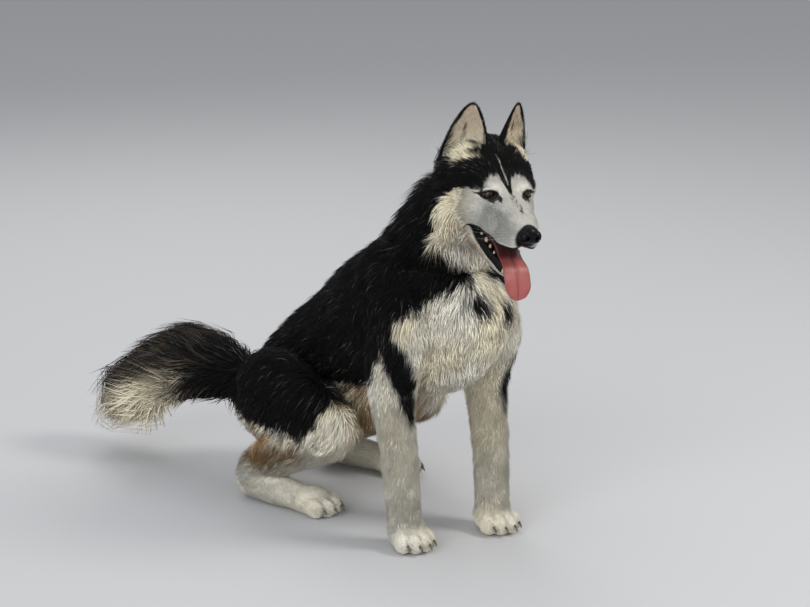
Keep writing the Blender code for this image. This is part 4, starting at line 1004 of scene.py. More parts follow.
# ---------------------------------------------------------------- the coat
# Guard hair in thin tapering tufts, each a three-sided blade whose root is sunk in the skin, that overlap along the
# lie: short on the face and feet, long on the neck, back and thighs, longest round the tail.
BAKE_PATCH = 0.003                 # how far across a tuft is on the unwrap
ROOT_SINK = 0.0008                 # how deep a tuft's foot is in the skin
CLUMP = 0.016                      # size of the locks that tufts gather in
FLECKS_AND_SHEEN = 0.05                      # share of the tufts in the black that are grey: partly grey hairs, partly painted sheen
EYE_MARGIN = 0.0014                # kept free of hair round the openings of the lids
LIP_MARGINS = (0.0010, 0.0)        # kept free above the upper lip's edge and below the lower one's black
NOSE_PAD = ((0.089, 0, -0.0325), (0.0140, 0.0180, 0.0160))    # centre and half sizes
SOLE_BARE = 0.004                  # no hair is rooted lower than this
TIP_LOWEST = 0.0012                # above the floor
TIP_EYE_MARGIN, TIP_LIP_MARGINS = 0.0006, (0.0002, -0.0010)    # the same margins for the tufts' upper ends
FAN_EDGE, FAN_DRAWN = -0.186, 0.4  # the tail's fan is drawn in to this share of its reach past the edge
BLADE_THICK = 0.35                 # a blade's thickness as a share of its width
fur = coat_material("fur", 0.66, 900.0)
hide_tree = BVHTree.FromPolygons(hide_points.tolist(), hide_corners.tolist())


def rooted(points, corners, uvs, areas, wanted):
    """Random places on the wanted triangles: the triangle's corners, the share of each, and the UV."""
    a, b, c = (points[corners[:, k]] for k in range(3))
    size = np.linalg.norm(np.cross(b - a, c - a), axis=1) / 2
    expected = np.where(wanted, size / areas[corners].mean(1), 0.0)
    count = int(expected.sum())
    ends = np.cumsum(expected)
    chosen = np.searchsorted(ends, (np.arange(count) + draw.random(count)) * ends[-1] / count)
    chosen = np.minimum(chosen, len(corners) - 1)
    r, s = np.sqrt(draw.random(count)), draw.random(count)
    weights = np.stack([1 - r, r * (1 - s), r * s], 1)
    return corners[chosen], weights, (uvs[chosen] * weights[:, :, None]).sum(1)


def at_roots(values, corners, weights):
    """A value of the vertices read at the roots."""
    return (values[corners] * weights.reshape(*weights.shape, *(1,) * (values.ndim - 1))).sum(1)


def unit(vectors):
    return vectors / (np.linalg.norm(vectors, axis=1)[:, None] + 1e-12)


def tufts(name, rings, out, widths, colours, uvs):
    """A piece of many blades: rings holds the middles of a few sections and the tip of each."""
    count, levels = len(out), len(rings) - 1
    rows = []
    for k in range(levels):
        along = unit(rings[k + 1] - rings[k])
        across = unit(np.cross(along, out)) * widths[k][:, None] / 2
        ridge = unit(np.cross(across, along)) * widths[k][:, None] * BLADE_THICK
        rows += [rings[k] + across, rings[k] + ridge, rings[k] - across]
    points = np.stack(rows + [rings[-1]], 1)
    faces = []
    for k in range(levels - 1):
        for j in range(3):
            a, b = 3 * k + j, 3 * k + (j + 1) % 3
            faces += [(a, b, b + 3), (a, b + 3, a + 3)]
    last, tip = 3 * (levels - 1), 3 * levels
    faces += [(last + j, last + (j + 1) % 3, tip) for j in range(3)]
    faces = np.array(faces)[:, ::-1]
    corners = (np.arange(count)[:, None, None] * (tip + 1) + faces).reshape(-1)
    mesh = bpy.data.meshes.new(name)
    mesh.vertices.add(count * (tip + 1))
    mesh.vertices.foreach_set("co", points.ravel())
    mesh.loops.add(len(corners))
    mesh.loops.foreach_set("vertex_index", corners)
    mesh.polygons.add(len(corners) // 3)
    mesh.polygons.foreach_set("loop_start", np.arange(0, len(corners), 3))
    height = np.array([k / levels for k in range(levels) for _ in range(3)] + [1.0])
    aside = np.array([(0.0, 0.5, 1.0)[j] for _ in range(levels) for j in range(3)] + [0.5])
    layer = mesh.uv_layers.new(name="OFBake")
    patch = uvs[:, None] + (np.stack([aside, height], 1) - 0.5) * BAKE_PATCH
    layer.data.foreach_set("uv", patch.reshape(-1, 2)[corners].ravel())
    shades = np.stack([colours[min(k, len(colours) - 1)] for k in range(levels) for _ in range(3)] + [colours[-1]], 1)
    coloured(mesh, shades.reshape(-1, 3))
    mesh.update()
    made = bpy.data.objects.new(name, mesh)
    bpy.context.scene.collection.objects.link(made)
    mesh.materials.append(fur)
    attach(made, "root")
    return made


def laid(points, way, reach, lift):
    """Points that lie reach along way from points on the skin, then lift off it."""
    out = np.empty_like(points)
    targets = points + way * reach[:, None]
    for i, target in enumerate(targets):
        spot, normal = hide_tree.find_nearest(target)[:2]
        out[i] = spot + normal * lift[i]
    return out


def over_eyes(points, margin):
    """Which points lie in front of the openings of the lids."""
    over = np.zeros(len(points), bool)
    for way in (1, -1):
        seen = seen_by_eye(points, way)
        half, tall = EYE_SLIT
        over |= (np.hypot(seen[:, 1] / (half + margin), seen[:, 2] / (tall + margin)) < 1) & (seen[:, 0] > 0)
    return over


def over_lips(own, above, below):
    """Which points of the head lie between the jaws or on the lips' bare margins."""
    x, z = own[:, 0], own[:, 2]
    high = z < along_table(MOUTH_TOP, x) + above
    low = z > along_table(LIP_EDGE, x) - below
    return high & low & (x > -0.036) & (x < 0.080) & (np.abs(own[:, 1]) < 0.050)


def bare(points):
    """Where no hair grows: the eyes' openings, the nose, the lips and the soles."""
    own = head_own(points)
    nose = within(own, own[:, 1], *NOSE_PAD) < 1
    return over_eyes(points, EYE_MARGIN) | nose | over_lips(own, *LIP_MARGINS) | (points[:, 2] < SOLE_BARE)


draw = np.random.default_rng(11)
bald = bare(hide_points) | in_mouth
hairy = ~bald[hide_corners].any(1)
tri_kind = kind[hide_corners[:, 0]]
hide_side = np.where(np.isin(kind, ("head", "face")), own[:, 1], straightened(hide_points)[:, 1])
tri_side = np.sign(hide_side[hide_corners[:, 0]])
for piece, (kinds, side, bends) in PIECES.items():
    of_tail = "tail" in kinds
    wanted = hairy & np.isin(tri_kind, kinds) & (tri_side * side >= 0)
    corners, weights, uvs = rooted(hide_points, hide_corners, hide_uvs, values[:, 3], wanted)
    root = at_roots(hide_points, corners, weights)
    normal = unit(at_roots(hide_normals, corners, weights))
    way = unit(at_roots(lie, corners, weights))
    length, width, height, _ = at_roots(values, corners, weights).T
    along_form = at_roots(share, corners, weights)
    count = len(root)
    across = np.cross(normal, way)
    sway = 0.16 * waves(root, CLUMP * 2, 21) + 0.14 * waves(root, CLUMP, 22) + 0.10 * draw.normal(size=count)
    way = unit(way + across * (sway * (1.4 if of_tail else 1.0))[:, None])
    length = length * (1 + 0.22 * draw.normal(size=count).clip(-2, 2) + 0.12 * waves(root, CLUMP, 23))
    clump = waves(root, CLUMP * 0.8, 24)
    stand = height * (0.80 + 0.28 * clump + 0.20 * draw.normal(size=count)).clip(0.15, 1.5)
    if of_tail:
        stand = stand * (1 + step(along_form - 0.72, 0.2) * (0.25 + 0.35 * clump)).clip(0.5, 1.6)
    middle = laid(root, way, length * 0.45, stand * 0.75)
    tip = laid(root, way, length, stand)
    for ring in (middle, tip):
        ring[:, 2] = np.maximum(ring[:, 2], TIP_LOWEST)
        ring[:, 1] = np.maximum(ring[:, 1], FAN_EDGE + FAN_DRAWN * (ring[:, 1] - FAN_EDGE))
    if of_tail:
        base = tail_markings(middle, along_form, tail_height(middle))
    else:
        base = markings(middle)
    pale = step(base.mean(1) - 0.25, 0.2)
    shade = (1 + (0.16 - 0.08 * pale) * draw.normal(size=count) + 0.08 * waves(root, 0.03, 25)).clip(0.5, 1.5)
    base = base * shade[:, None]
    # grey tufts in the black: partly grey hairs, partly painted sheen
    grey_and_sheen_tufts = (base.mean(1) < 0.04) & (draw.random(count) < FLECKS_AND_SHEEN + FLECKS_AND_SHEEN * waves(root, 0.02, 26))
    base[grey_and_sheen_tufts] = np.array(GREY) * draw.uniform(0.4, 1.3, grey_and_sheen_tufts.sum())[:, None]
    # each tuft darker at the root, partly its undercoat and partly painted shade deep in the coat, and a little
    # lighter at the tip
    colours = [base * (0.62 + 0.22 * pale)[:, None], base, base * 1.05]
    widths = [width * draw.uniform(0.8, 1.2, count) * (1.3 if bends == 1 else 1.0), width * 0.75]
    kept = np.ones(count, bool)
    for ring in (middle, tip):
        kept &= ~(over_eyes(ring, TIP_EYE_MARGIN) | over_lips(head_own(ring), *TIP_LIP_MARGINS))
    rings = [root - normal * ROOT_SINK, middle, tip] if bends == 2 else [root - normal * ROOT_SINK, tip]
    coat = tufts(piece, [ring[kept] for ring in rings], normal[kept],
                 [w[kept] for w in widths], [c[kept].clip(0, 0.95) for c in colours], uvs[kept])

# ---------------------------------------------------------------- the ears
# Upright cups of thin cartilage set wide on the skull, open forwards and outwards: black fur behind and on the rim,
# cream hair inside with a dark bare streak down the cup.
EAR_HEIGHT, EAR_WIDTH, EAR_WALL = 0.093, 0.072, 0.0030
EAR_FOOT = Vector((-0.084, 0.043, 0.020))     # the middle of the left ear's base
EAR_RISE = Vector((-0.10, -0.03, 1.0))        # the way to its tip
EAR_FACING = math.radians(30)                 # how far its opening turns outwards
EAR_CURL = (math.radians(78), math.radians(38))    # how far round it curls at the base and at the tip
EAR_STEPS, EAR_ARC = 40, 20
EAR_RIM = (0.05, 0.30)             # share of the half width that is black at the base and towards the tip
EAR_STREAK = (0.30, 0.10, 0.05, 0.62)    # aside, half width, and from and to how high up
EAR_DARK, EAR_CREAM, EAR_SKIN = (0.085, 0.030, 0.016), (0.80, 0.71, 0.56), (0.55, 0.44, 0.32)
EAR_HAIR = {    # length, width, height of the tips, area for each tuft
    "behind": (0.010, 0.0011, 0.0024, 2.1e-6),
    "inside": (0.013, 0.0010, 0.0032, 2.0e-6),
}


def ear(way):
    """A cupped ear of crescents that narrow to the tip, and for each vertex its height, place aside and wall."""
    sided = Vector((1, way, 1))
    foot, rise = EAR_FOOT * sided, (EAR_RISE * sided).normalized()
    facing = Vector((math.cos(EAR_FACING), way * math.sin(EAR_FACING), 0))
    facing = (facing - rise * facing.dot(rise)).normalized()
    across = rise.cross(facing)
    bm = bmesh.new()
    loops, marks = [], []
    for i in range(EAR_STEPS + 1):
        t = 1 - (1 - i / EAR_STEPS) ** 1.5
        wide = EAR_WIDTH / 2 * (1 - t) ** 0.64 * (1 + 0.30 * t) + 0.0022
        bend = EAR_CURL[0] + (EAR_CURL[1] - EAR_CURL[0]) * t
        radius = wide / math.sin(bend)
        wall = EAR_WALL * (1 - 0.55 * t)
        middle = foot + rise * EAR_HEIGHT * t
        loop = []
        for side, size in ((1, radius), (-1, radius - wall)):
            for j in range(EAR_ARC + 1):
                share = side * (2 * j / EAR_ARC - 1)
                a = share * bend
                size_here = size + (0.0006 * math.sin(26 * t + 9 * share) * (1 - t) if side < 0 else 0)
                out = facing * (radius * math.cos(bend) - size_here * math.cos(a)) + across * size_here * math.sin(a)
                loop.append(bm.verts.new(in_head(*(middle + out))[0]))
                marks.append((t, share * way, side))
        loops.append([bm.edges.new((loop[j - 1], loop[j])) for j in range(len(loop))])
    for low, high in zip(loops, loops[1:]):
        bmesh.ops.bridge_loops(bm, edges=low + high)
    bmesh.ops.holes_fill(bm, edges=bm.edges, sides=2 * EAR_ARC + 2)
    bmesh.ops.triangulate(bm, faces=bm.faces)
    bmesh.ops.recalc_face_normals(bm, faces=bm.faces)
    return bm, np.array(marks), head_way(*rise)


def ear_markings(points, marks):
    """Black behind and on the rim, cream inside, with the dark streak."""
    tall, aside, wall = marks.T
    colour = blended(plain(points, EAR_CREAM), EAR_SKIN, 0.7 * step(tall - 0.45, 0.3))
    colour = blended(colour, CREAM, 0.8 * step(0.22 - tall, 0.15))
    middle, half, low, high = EAR_STREAK
    along = (tall - low) / (high - low)
    wide = half * np.sqrt(np.clip(4 * along * (1 - along), 0, 1))
    streak = wide - np.abs(aside + 0.12 * (tall - 0.3) - middle) + 0.03 * waves(points, 0.006, 31)
    colour = blended(colour, EAR_DARK, 0.92 * step(streak, 0.035) * (wide > 0))
    rim = EAR_RIM[0] + (EAR_RIM[1] - EAR_RIM[0]) * step(tall - 0.72, 0.25)
    edge = step(np.abs(aside) - (1 - rim) + 0.03 * waves(points, 0.005, 32), 0.035)
    edge = np.maximum(edge, step(tall - 0.93, 0.02))
    return np.where((wall > 0)[:, None], np.array(BLACK), blended(colour, BLACK, edge))


ear_hide = coat_material("ear_hide", 0.7, 260.0, 0.0004)
for way, name in ((1, "left"), (-1, "right")):
    form, marks, rise = ear(way)
    made = made_object("ear_" + name + "_cup", [form])
    unwrapped(made, 0.002)
    points, normals, corners, uvs = arrays(made.data)
    coloured(made.data, ear_markings(points, marks))
    made.data.materials.append(ear_hide)
    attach(made, "root")
    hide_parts("ear_" + name)
    for wall, (part, sizes) in zip((1, -1), EAR_HAIR.items()):
        on_wall = (marks[corners][:, :, 2] == wall).sum(1) >= 2
        here, weights, places = rooted(points, corners, uvs, np.full(len(points), sizes[3]), on_wall)
        root, normal = at_roots(points, here, weights), unit(at_roots(normals, here, weights))
        mark = at_roots(marks, here, weights)
        count = len(root)
        length = sizes[0] * draw.uniform(0.7, 1.3, count) * (1.25 - 0.75 * mark[:, 0])
        stand = sizes[2] * draw.uniform(0.5, 1.3, count) * (1.2 - 0.8 * mark[:, 0])
        up = np.tile(np.array(rise), (count, 1)) + 0.12 * draw.normal(size=(count, 3))
        if wall < 0:    # the hair inside fans from the edges over the cup
            length *= 1 + 0.9 * step(0.30 - mark[:, 0], 0.2)
            stand *= 1 + 1.6 * step(0.30 - mark[:, 0], 0.2)
            up -= 0.55 * mark[:, 1:2] * way * np.array(Vector(rise).cross(head_way(1, 0, 0)))
        up = unit(up - normal * (up * normal).sum(1)[:, None])
        mark[:, 2] = wall
        base = ear_markings(root, mark) * (1 + 0.14 * draw.normal(size=count).clip(-2, 2))[:, None]
        middle = root + up * (length * 0.5)[:, None] + normal * (stand * 0.75)[:, None]
        tip = root + up * length[:, None] + normal * (stand * 0.9)[:, None]
        kept = np.ones(count, bool)
        if wall < 0:
            kept = draw.random(count) < np.where(base.mean(1) < 0.12, 0.25, 1.0)
        base = base[kept]
        # each tuft darker at the root: partly its undercoat, partly painted shade deep in the hair
        coat = tufts(f"coat_ear_{name}_{part}", [ring[kept] for ring in (root - normal * 0.0004, middle, tip)],
                     normal[kept], [np.full(kept.sum(), sizes[1]), np.full(kept.sum(), sizes[1] * 0.7)],
                     [(base * 0.8).clip(0, 0.95), base.clip(0, 0.95), base.clip(0, 0.95)], places[kept])

# ---------------------------------------------------------------- the eyes
# Wet dark globes in their sockets, brown round the pupil, under a clear bulging cornea.
CORNEA = (0.0064, 0.0009)          # its radius and how far it bulges
EYE_RINGS = [    # distance from the middle of the gaze and colour
    (0.0000, (0.002, 0.002, 0.002)), (0.0024, (0.002, 0.002, 0.002)), (0.0027, (0.024, 0.010, 0.004)),
    (0.0045, (0.052, 0.022, 0.008)), (0.0056, (0.022, 0.010, 0.005)), (0.0063, (0.004, 0.003, 0.003)),
    (0.0078, (0.020, 0.012, 0.010)), (0.0110, (0.090, 0.060, 0.055)),
]


def shown(name, forms, finish, slot, *replaced):
    """A smooth piece of the body with its finish, which stands for the named solids."""
    made = made_object(name, forms)
    made.data.shade_smooth()
    made.data.materials.append(finish)
    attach(made, "root")
    if replaced:
        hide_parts(*replaced)
    return made


eye_wet, shader = material("eye_wet", (0.1, 0.05, 0.02), 0.08)
glossed(shader, 0.35, 0.02, specular=0.3)
nodes, links = eye_wet.node_tree.nodes, eye_wet.node_tree.links
ring, ramp = nodes.new("ShaderNodeAttribute"), nodes.new("ShaderNodeValToRGB")
ring.attribute_name = "ring"
while len(ramp.color_ramp.elements) < len(EYE_RINGS):
    ramp.color_ramp.elements.new(1.0)
for element, (away, colour) in zip(ramp.color_ramp.elements, EYE_RINGS):
    element.position, element.color = away / EYE_RADIUS * 0.98, (*colour, 1)
fibres, shaded = nodes.new("ShaderNodeTexNoise"), nodes.new("ShaderNodeMix")
fibres.inputs["Scale"].default_value = 900.0
spot = nodes.new("ShaderNodeTexCoord")
shaded.data_type, shaded.blend_type = "RGBA", "OVERLAY"
shaded.inputs["Factor"].default_value = 0.5
links.new(ring.outputs["Fac"], ramp.inputs["Fac"])
links.new(spot.outputs["Object"], fibres.inputs["Vector"])
links.new(ramp.outputs["Color"], shaded.inputs["A"])
links.new(fibres.outputs["Color"], shaded.inputs["B"])
links.new(shaded.outputs["Result"], shader.inputs["Base Color"])
for way, name in ((1, "left"), (-1, "right")):
    bm = bmesh.new()
    bmesh.ops.create_uvsphere(bm, u_segments=48, v_segments=48, radius=EYE_RADIUS)
    bmesh.ops.rotate(bm, matrix=Matrix.Rotation(math.pi / 2, 3, "Y"), verts=bm.verts)
    rings = []
    for vert in bm.verts:
        away = math.hypot(vert.co.y, vert.co.z)
        rings.append(away / EYE_RADIUS * 0.98 if vert.co.x > 0 else 0.98)
        if vert.co.x > 0 and away < CORNEA[0]:
            vert.co.x += CORNEA[1] * (1 - (away / CORNEA[0]) ** 2)
    bmesh.ops.transform(bm, matrix=eye_place(way), verts=bm.verts)
    eye = shown("eyeball_" + name, [bm], eye_wet, "eye", "eye_" + name)
    eye.data.attributes.new("ring", "FLOAT", "POINT").data.foreach_set("value", rings)

# ---------------------------------------------------------------- the lid rims
# Bare black margins that frame each eye, moist where they touch it, with a small haw in the inner corner.
RIM_HALF = (0.0011, 0.0008)        # half width and half thickness
HAW_HALF = (0.0022, 0.0020, 0.0018)


def swept(path, halves, ups, sides=12, closed=False):
    """A bar along a path: halves gives its half widths and half thicknesses, ups the way its thickness faces."""
    bm = bmesh.new()
    loops, count = [], len(path)
    for i, (at, (wide, thick), up) in enumerate(zip(path, halves, ups)):
        onward = path[(i + 1) % count] if closed else path[min(i + 1, count - 1)]
        along = (onward - (path[i - 1] if closed or i else path[0])).normalized()
        across = along.cross(up).normalized()
        over = across.cross(along)
        loop = []
        for j in range(sides):
            a = 2 * math.pi * j / sides
            loop.append(bm.verts.new(at + across * wide * math.cos(a) + over * thick * math.sin(a)))
        loops.append([bm.edges.new((loop[j - 1], loop[j])) for j in range(sides)])
    for lower, upper in zip(loops, loops[1:] + (loops[:1] if closed else [])):
        bmesh.ops.bridge_loops(bm, edges=lower + upper)
    if not closed:
        bmesh.ops.holes_fill(bm, edges=bm.edges, sides=sides)
    bmesh.ops.recalc_face_normals(bm, faces=bm.faces)
    return bm


bare_black, shader = material("bare_black", (0.004, 0.0035, 0.0035), 0.45)
glossed(shader, 0.03, 0.2, specular=0.10)
roughened(bare_black, shader, 1400.0, 0.0003)
haw_pink, shader = material("haw", (0.16, 0.055, 0.045), 0.2)
roughened(haw_pink, shader, 900.0, 0.0001)
for way, name in ((1, "left"), (-1, "right")):
    place = eye_place(way)
    gaze = place.to_3x3() @ Vector((1, 0, 0))
    path, halves = [], []
    for y, z in almond(56):
        start = place @ Vector((0.06, y * 1.06, z * 1.10))
        spot = hide_tree.ray_cast(start, -gaze)[0]
        path.append(spot - gaze * 0.0004)
        corner = abs(y) / EYE_SLIT[0]
        halves.append((RIM_HALF[0] * (1 + 0.5 * corner ** 6), RIM_HALF[1]))
    shown("lid_rim_" + name, [swept(path, halves, [gaze] * len(path), closed=True)], bare_black, "nose_skin")
    at = place.inverted() @ hide_tree.ray_cast(place @ Vector((0.06, -way * EYE_SLIT[0] * 0.88, -0.0004)), -gaze)[0]
    haw = bmesh.new()
    bmesh.ops.create_uvsphere(haw, u_segments=16, v_segments=10, radius=1.0)
    depth = math.sqrt(max(EYE_RADIUS ** 2 - at.y ** 2, 0)) - 0.0008
    moved = Matrix.Translation((depth, -way * EYE_SLIT[0] * 0.84, -0.0006)) @ Matrix.Diagonal((*HAW_HALF, 1))
    bmesh.ops.transform(haw, matrix=place @ moved, verts=haw.verts)
    shown("haw_" + name, [haw], haw_pink, "tongue_skin")

# ---------------------------------------------------------------- the nose
# Bare black pebbled leather, moist, with comma nostrils that run out into slits and a groove down the middle.
NOSE_BALLS = [    # centre and half sizes; those off the midline are on both sides
    ((0.0880, 0, -0.0305), (0.0140, 0.0165, 0.0150)), ((0.0925, 0.0088, -0.0315), (0.0098, 0.0102, 0.0108)),
    ((0.0810, 0, -0.0235), (0.0120, 0.0125, 0.0075)), ((0.0870, 0, -0.0420), (0.0100, 0.0120, 0.0085)),
]
NOSTRIL = ((0.1012, 0.0080, -0.0312), (0.0075, 0.0036, 0.0038))
NOSTRIL_SLIT = [
    (0.1015, 0.0090, -0.0325), (0.0990, 0.0135, -0.0350), (0.0940, 0.0178, -0.0360), (0.0870, 0.0205, -0.0358),
]
SLIT_HALF = (0.0022, 0.0011)
GROOVE = ((0.1035, 0, -0.0430), (0.0046, 0.0007, 0.0140))
NOSE_GRAIN, NOSE_SMOOTHING = 0.0009, 8

balls = []
for (x, y, z), radii in NOSE_BALLS:
    balls += [ball(in_head, (x, side * y, z), radii) for side in ((1, -1) if y else (1,))]
nose_leather, shader = material("nose_leather", (0.0025, 0.0025, 0.003), 0.36)
glossed(shader, 0.04, 0.12, specular=0.10)
roughened(nose_leather, shader, 650.0, 0.0003, cells=True)
nose = shown("nose_pad", balls, nose_leather, "nose_skin", "nose")
fused(nose, NOSE_GRAIN, NOSE_SMOOTHING)
for side in (1, -1):
    cut(nose, ball(in_head, (NOSTRIL[0][0], side * NOSTRIL[0][1], NOSTRIL[0][2]), NOSTRIL[1]))
    path = [HEAD @ Vector((x, side * y, z)) for x, y, z in smooth_rows(NOSTRIL_SLIT, 4)]
    cut(nose, swept(path, [SLIT_HALF] * len(path), [head_way(0, 0, 1)] * len(path)))
cut(nose, ball(in_head, *GROOVE))
softened(nose, 0.4, 3)
nose.data.shade_smooth()
nose.data.materials.clear()
nose.data.materials.append(nose_leather)

# ---------------------------------------------------------------- the lips
# Bare black margins of the mouth: a thin one above, and a broad one below that hangs a little and is notched.
# where the muzzle is cut across, the way from there to the lip (90 degrees is sideways), and the height
UPPER_LIP = [
    (-0.028, 90, -0.0650), (-0.018, 90, -0.0594), (-0.007, 90, -0.0564), (0.012, 90, -0.0566), (0.030, 90, -0.0604),
    (0.046, 88, -0.0629), (0.058, 75, -0.0598), (0.064, 50, -0.0578), (0.064, 25, -0.0565), (0.064, 0, -0.0560),
]
LOWER_LIP = [
    (-0.028, 90, -0.0700), (-0.015, 90, -0.0795), (0.000, 90, -0.0868), (0.014, 90, -0.0925), (0.028, 90, -0.0980),
    (0.036, 75, -0.1030), (0.040, 45, -0.1070), (0.040, 15, -0.1090), (0.040, 0, -0.1095),
]
UPPER_LIP_HALF, LOWER_LIP_HALF = (0.0019, 0.0015), (0.0066, 0.0026)
LIP_NOTCH = 0.0060                 # spacing of the notches


def on_muzzle(x, angle, z):
    """The skin as seen from outside along the head's level line at this angle."""
    out = Vector((math.cos(math.radians(angle)), math.sin(math.radians(angle)), 0))
    spot = hide_tree.ray_cast(HEAD @ (Vector((x, 0, z)) + out * 0.2), head_way(*-out))[0]
    return (spot if spot else HEAD @ Vector((x, 0, z))), head_way(*out)


def lip(line, half, inset, lean, notched):
    """The bead of a lip, from one corner of the mouth round to the other."""
    rows = smooth_rows(line, 8)
    around = rows + [(x, -angle, z) for x, angle, z in rows[-2::-1]]
    path, halves, ups, gone = [], [], [], 0.0
    for i, row in enumerate(around):
        spot, out = on_muzzle(*row)
        path.append(spot - out * inset)
        if i:
            gone += (path[-1] - path[-2]).length
        end = min(i, len(around) - 1 - i) / 6
        taper = min(1.0, 0.25 + 0.75 * end)
        notch = 1 + notched * math.sin(2 * math.pi * gone / LIP_NOTCH)
        halves.append((half[0] * taper * notch, half[1] * taper * (2 - notch)))
        ups.append(out + head_way(0, 0, lean))
    return swept(path, halves, ups, sides=14)


shown("upper_lip", [lip(UPPER_LIP, UPPER_LIP_HALF, 0.0010, -0.5, 0.0)], bare_black, "nose_skin")
shown("lower_lip", [lip(LOWER_LIP, LOWER_LIP_HALF, 0.0008, 0.35, 0.06)], bare_black, "nose_skin")

# ---------------------------------------------------------------- the teeth
# Ivory crowns set in the gums along each side of both jaws: a hooked canine in front, then flat pointed cheek teeth.
# x, y and z of the root, height, half length along the jaw, half thickness
UPPER_TEETH = [(0.066, 0.0145, -0.0560, 0.0075, 0.0028, 0.0026), (0.052, 0.0180, -0.0600, 0.0036, 0.0022, 0.0016),
               (0.041, 0.0200, -0.0600, 0.0040, 0.0028, 0.0017), (0.029, 0.0218, -0.0575, 0.0044, 0.0032, 0.0018),
               (0.016, 0.0230, -0.0550, 0.0044, 0.0038, 0.0022), (0.002, 0.0245, -0.0535, 0.0044, 0.0044, 0.0024),
               (-0.012, 0.0260, -0.0565, 0.0034, 0.0032, 0.0024)]
LOWER_TEETH = [(0.056, 0.0130, -0.1100, 0.0062, 0.0024, 0.0023), (0.044, 0.0160, -0.1055, 0.0034, 0.0020, 0.0016),
               (0.034, 0.0225, -0.0868, 0.0032, 0.0020, 0.0016), (0.020, 0.0235, -0.0826, 0.0036, 0.0028, 0.0019),
               (0.006, 0.0246, -0.0780, 0.0046, 0.0044, 0.0023), (-0.010, 0.0258, -0.0745, 0.0028, 0.0030, 0.0018)]
CROWN = [(-0.5, 0.95), (0.0, 1.0), (0.40, 0.95), (0.70, 0.74), (0.90, 0.44), (1.0, 0.16)]    # shares of height, size


def tooth(x, y, z, height, along, across, hangs):
    way = -1 if hangs else 1
    path = [HEAD @ Vector((x - 0.10 * height * max(t, 0) ** 2, y, z + way * height * t)) for t, _ in CROWN]
    halves = [(across * size, along * size) for _, size in CROWN]
    return swept(path, halves, [head_way(1, 0, 0)] * len(path), sides=10)


ivory, shader = material("ivory", (0.36, 0.29, 0.20), 0.35)
roughened(ivory, shader, 700.0, 0.0001)
for name, rows in (("upper_teeth", UPPER_TEETH), ("lower_teeth", LOWER_TEETH)):
    teeth = [tooth(x, side * y, *more, rows is UPPER_TEETH) for x, y, *more in rows for side in (1, -1)]
    shown(name, teeth, ivory, "coat_white")

# ---------------------------------------------------------------- the tongue
# A long flat wet muscle that lies in the jaw, curls over its front and hangs: rough above, with a groove down the
# middle and edges that turn up.
# x, y and z in the head, half width, half thickness
TONGUE = [
    (-0.0300, 0.000, -0.0740, 0.0175, 0.0095), (0.0000, 0.000, -0.0755, 0.0190, 0.0100),
    (0.0220, 0.000, -0.0810, 0.0195, 0.0080), (0.0450, 0.001, -0.0922, 0.0203, 0.0052),
    (0.0670, 0.000, -0.0985, 0.0218, 0.0042), (0.0790, 0.000, -0.1100, 0.0232, 0.0038),
    (0.0870, 0.000, -0.1220, 0.0226, 0.0036), (0.0918, 0.000, -0.1305, 0.0186, 0.0034),
    (0.0938, 0.000, -0.1365, 0.0128, 0.0031), (0.0950, 0.000, -0.1400, 0.0060, 0.0024),
    (0.0954, 0.000, -0.1412, 0.0012, 0.0010),
]
TONGUE_SIDES = 48
GROOVE_DEPTH, GROOVE_WIDTH, EDGE_CURL = 0.0016, 0.14, 0.0030
# pink of the tongue; painted shade down its groove, at its edges and underneath; painted shadow of the upper jaw
# within the jaws
TONGUE_PINK, TONGUE_SHADE_RED, TONGUE_JAW_SHADOW = (0.32, 0.078, 0.070), (0.16, 0.028, 0.026), (0.050, 0.010, 0.010)

rows = smooth_rows(TONGUE, 6)
path = [HEAD @ Vector(r[:3]) for r in rows]
left = head_way(0, 1, 0)
ups = []
for i in range(len(path)):
    along = path[min(i + 1, len(path) - 1)] - path[max(i - 1, 0)]
    ups.append(left.cross(along).normalized() * -1)
form = swept(path, [(r[3], r[4]) for r in rows], ups, sides=TONGUE_SIDES)
tongue_colours = []
for k, vert in enumerate(form.verts):
    i, j = divmod(k, TONGUE_SIDES)
    a = 2 * math.pi * j / TONGUE_SIDES
    aside, above = math.cos(a), math.sin(a) > 0
    down_path = i / (len(rows) - 1)
    groove = GROOVE_DEPTH * math.exp(-(aside / GROOVE_WIDTH) ** 2) * (1 if above else -0.3) * (1 - down_path ** 4)
    curl = EDGE_CURL * abs(aside) ** 3 * min(1.0, (1 - down_path) * 4)
    wave = 0.0006 * math.sin(i * 0.55 + (2 if aside > 0 else 0)) * abs(aside) ** 2
    vert.co += ups[i] * (curl - groove + wave)
    # painted shade: darker down the groove, at the edges and underneath
    shade = 0.75 * math.exp(-(aside / 0.10) ** 2) * above + 0.55 * abs(aside) ** 4 + 0.35 * (not above)
    inner = float(step(0.320 - down_path, 0.035))    # painted shadow of the upper jaw: the part within the jaws is deep red
    flat = np.array(TONGUE_PINK) + (np.array(TONGUE_SHADE_RED) - np.array(TONGUE_PINK)) * min(1.0, shade)
    tongue_colours.append(flat + (np.array(TONGUE_JAW_SHADOW) - flat) * inner)
flesh, shader = material("tongue_flesh", TONGUE_PINK, 0.46)
nodes, links = flesh.node_tree.nodes, flesh.node_tree.links
tint = nodes.new("ShaderNodeAttribute")
tint.attribute_name = "coat"
links.new(tint.outputs["Color"], shader.inputs["Base Color"])
shader.inputs["Subsurface Weight"].default_value, shader.inputs["Subsurface Scale"].default_value = 0.15, 0.004
glossed(shader, 0.10, 0.25)
roughened(flesh, shader, 1300.0, 0.00022, cells=True)
tongue = shown("tongue_flesh", [form], flesh, "tongue_skin", "tongue")
coloured(tongue.data, np.array(tongue_colours))

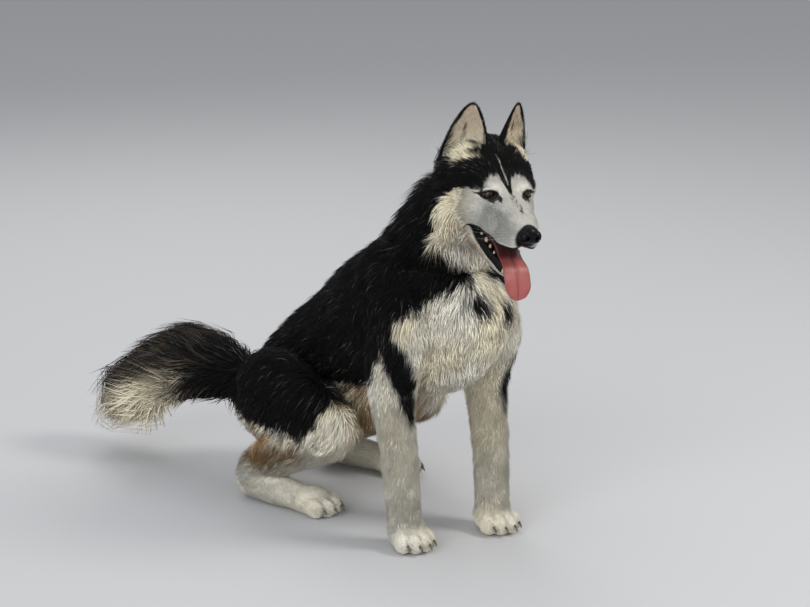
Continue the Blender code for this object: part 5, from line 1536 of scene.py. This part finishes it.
# ---------------------------------------------------------------- the claws
# Blunt horn hooks, one out of the front of each toe, greyish brown and worn at the tip.
CLAW = [    # ahead of the toe's middle, up, half size
    (0.0100, 0.0015, 0.0028), (0.0180, 0.0018, 0.0026), (0.0215, 0.0000, 0.0021), (0.0240, -0.0030, 0.0014),
    (0.0252, -0.0060, 0.0006),
]
horn, shader = material("horn", (0.085, 0.066, 0.055), 0.38)
roughened(horn, shader, 500.0, 0.0003)
claws = []
for (x, y, length), hold in ((FORE_PAW, "front"), (HIND_PAW, "rear")):
    for way in (1, -1):
        for tx, ty, tz in toes(x, way * y, length):
            hook = [(tx + onward, ty, max(tz + up, size + 0.001), size) for onward, up, size in CLAW]
            rows = smooth_rows(hook, 3)
            path = [posed(*r[:3], hold)[0] for r in rows]
            claws.append(swept(path, [(r[3] * 0.8, r[3]) for r in rows], [Vector((0, 0, 1))] * len(path), sides=10))
shown("claws", claws, horn, "nose_skin")

# ---------------------------------------------------------------- the whiskers
# Stiff tapering hairs in three rows on each side of the upper lip, rooted in the skin.
WHISKER_ROWS = [    # (z, the places along it)
    (-0.034, (0.044, 0.056, 0.066)), (-0.042, (0.036, 0.048, 0.060, 0.070)), (-0.050, (0.034, 0.046, 0.058)),
]
WHISKER_LENGTH, WHISKER_HALF = 0.040, 0.00016
WHISKER_COLOUR = (0.50, 0.49, 0.47)

hairs = []
whisker_draw = np.random.default_rng(5)
for z, xs in WHISKER_ROWS:
    for x in xs:
        for side in (1, -1):
            spot, out = on_muzzle(x, side * 82, z)
            back, down = head_way(-1, 0, 0), head_way(0, 0, -1)
            size = WHISKER_LENGTH * whisker_draw.uniform(0.7, 1.1)
            lean, sag = whisker_draw.uniform(0.5, 0.9), whisker_draw.uniform(0.15, 0.4)
            path = []
            for i in range(9):
                t = i / 8
                bent = (back * lean + down * sag) * t * t
                path.append(spot + (out * (t - 0.15 * t * t) + bent - out * 0.02) * size)
            halves = [(WHISKER_HALF * (1 - 0.85 * i / 8),) * 2 for i in range(9)]
            hairs.append(swept(path, halves, [Vector((0, 0, 1))] * 9, sides=5))
whisker, shader = material("whisker", WHISKER_COLOUR, 0.35)
roughened(whisker, shader, 2000.0, 0.00005)
shown("whiskers", hairs, whisker, "coat_white")

# ---------------------------------------------------------------- sizes, for comparison with the frame
sizes = {"cad": [list(corner) for corner in cad_box], "scene": [list(corner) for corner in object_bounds()]}
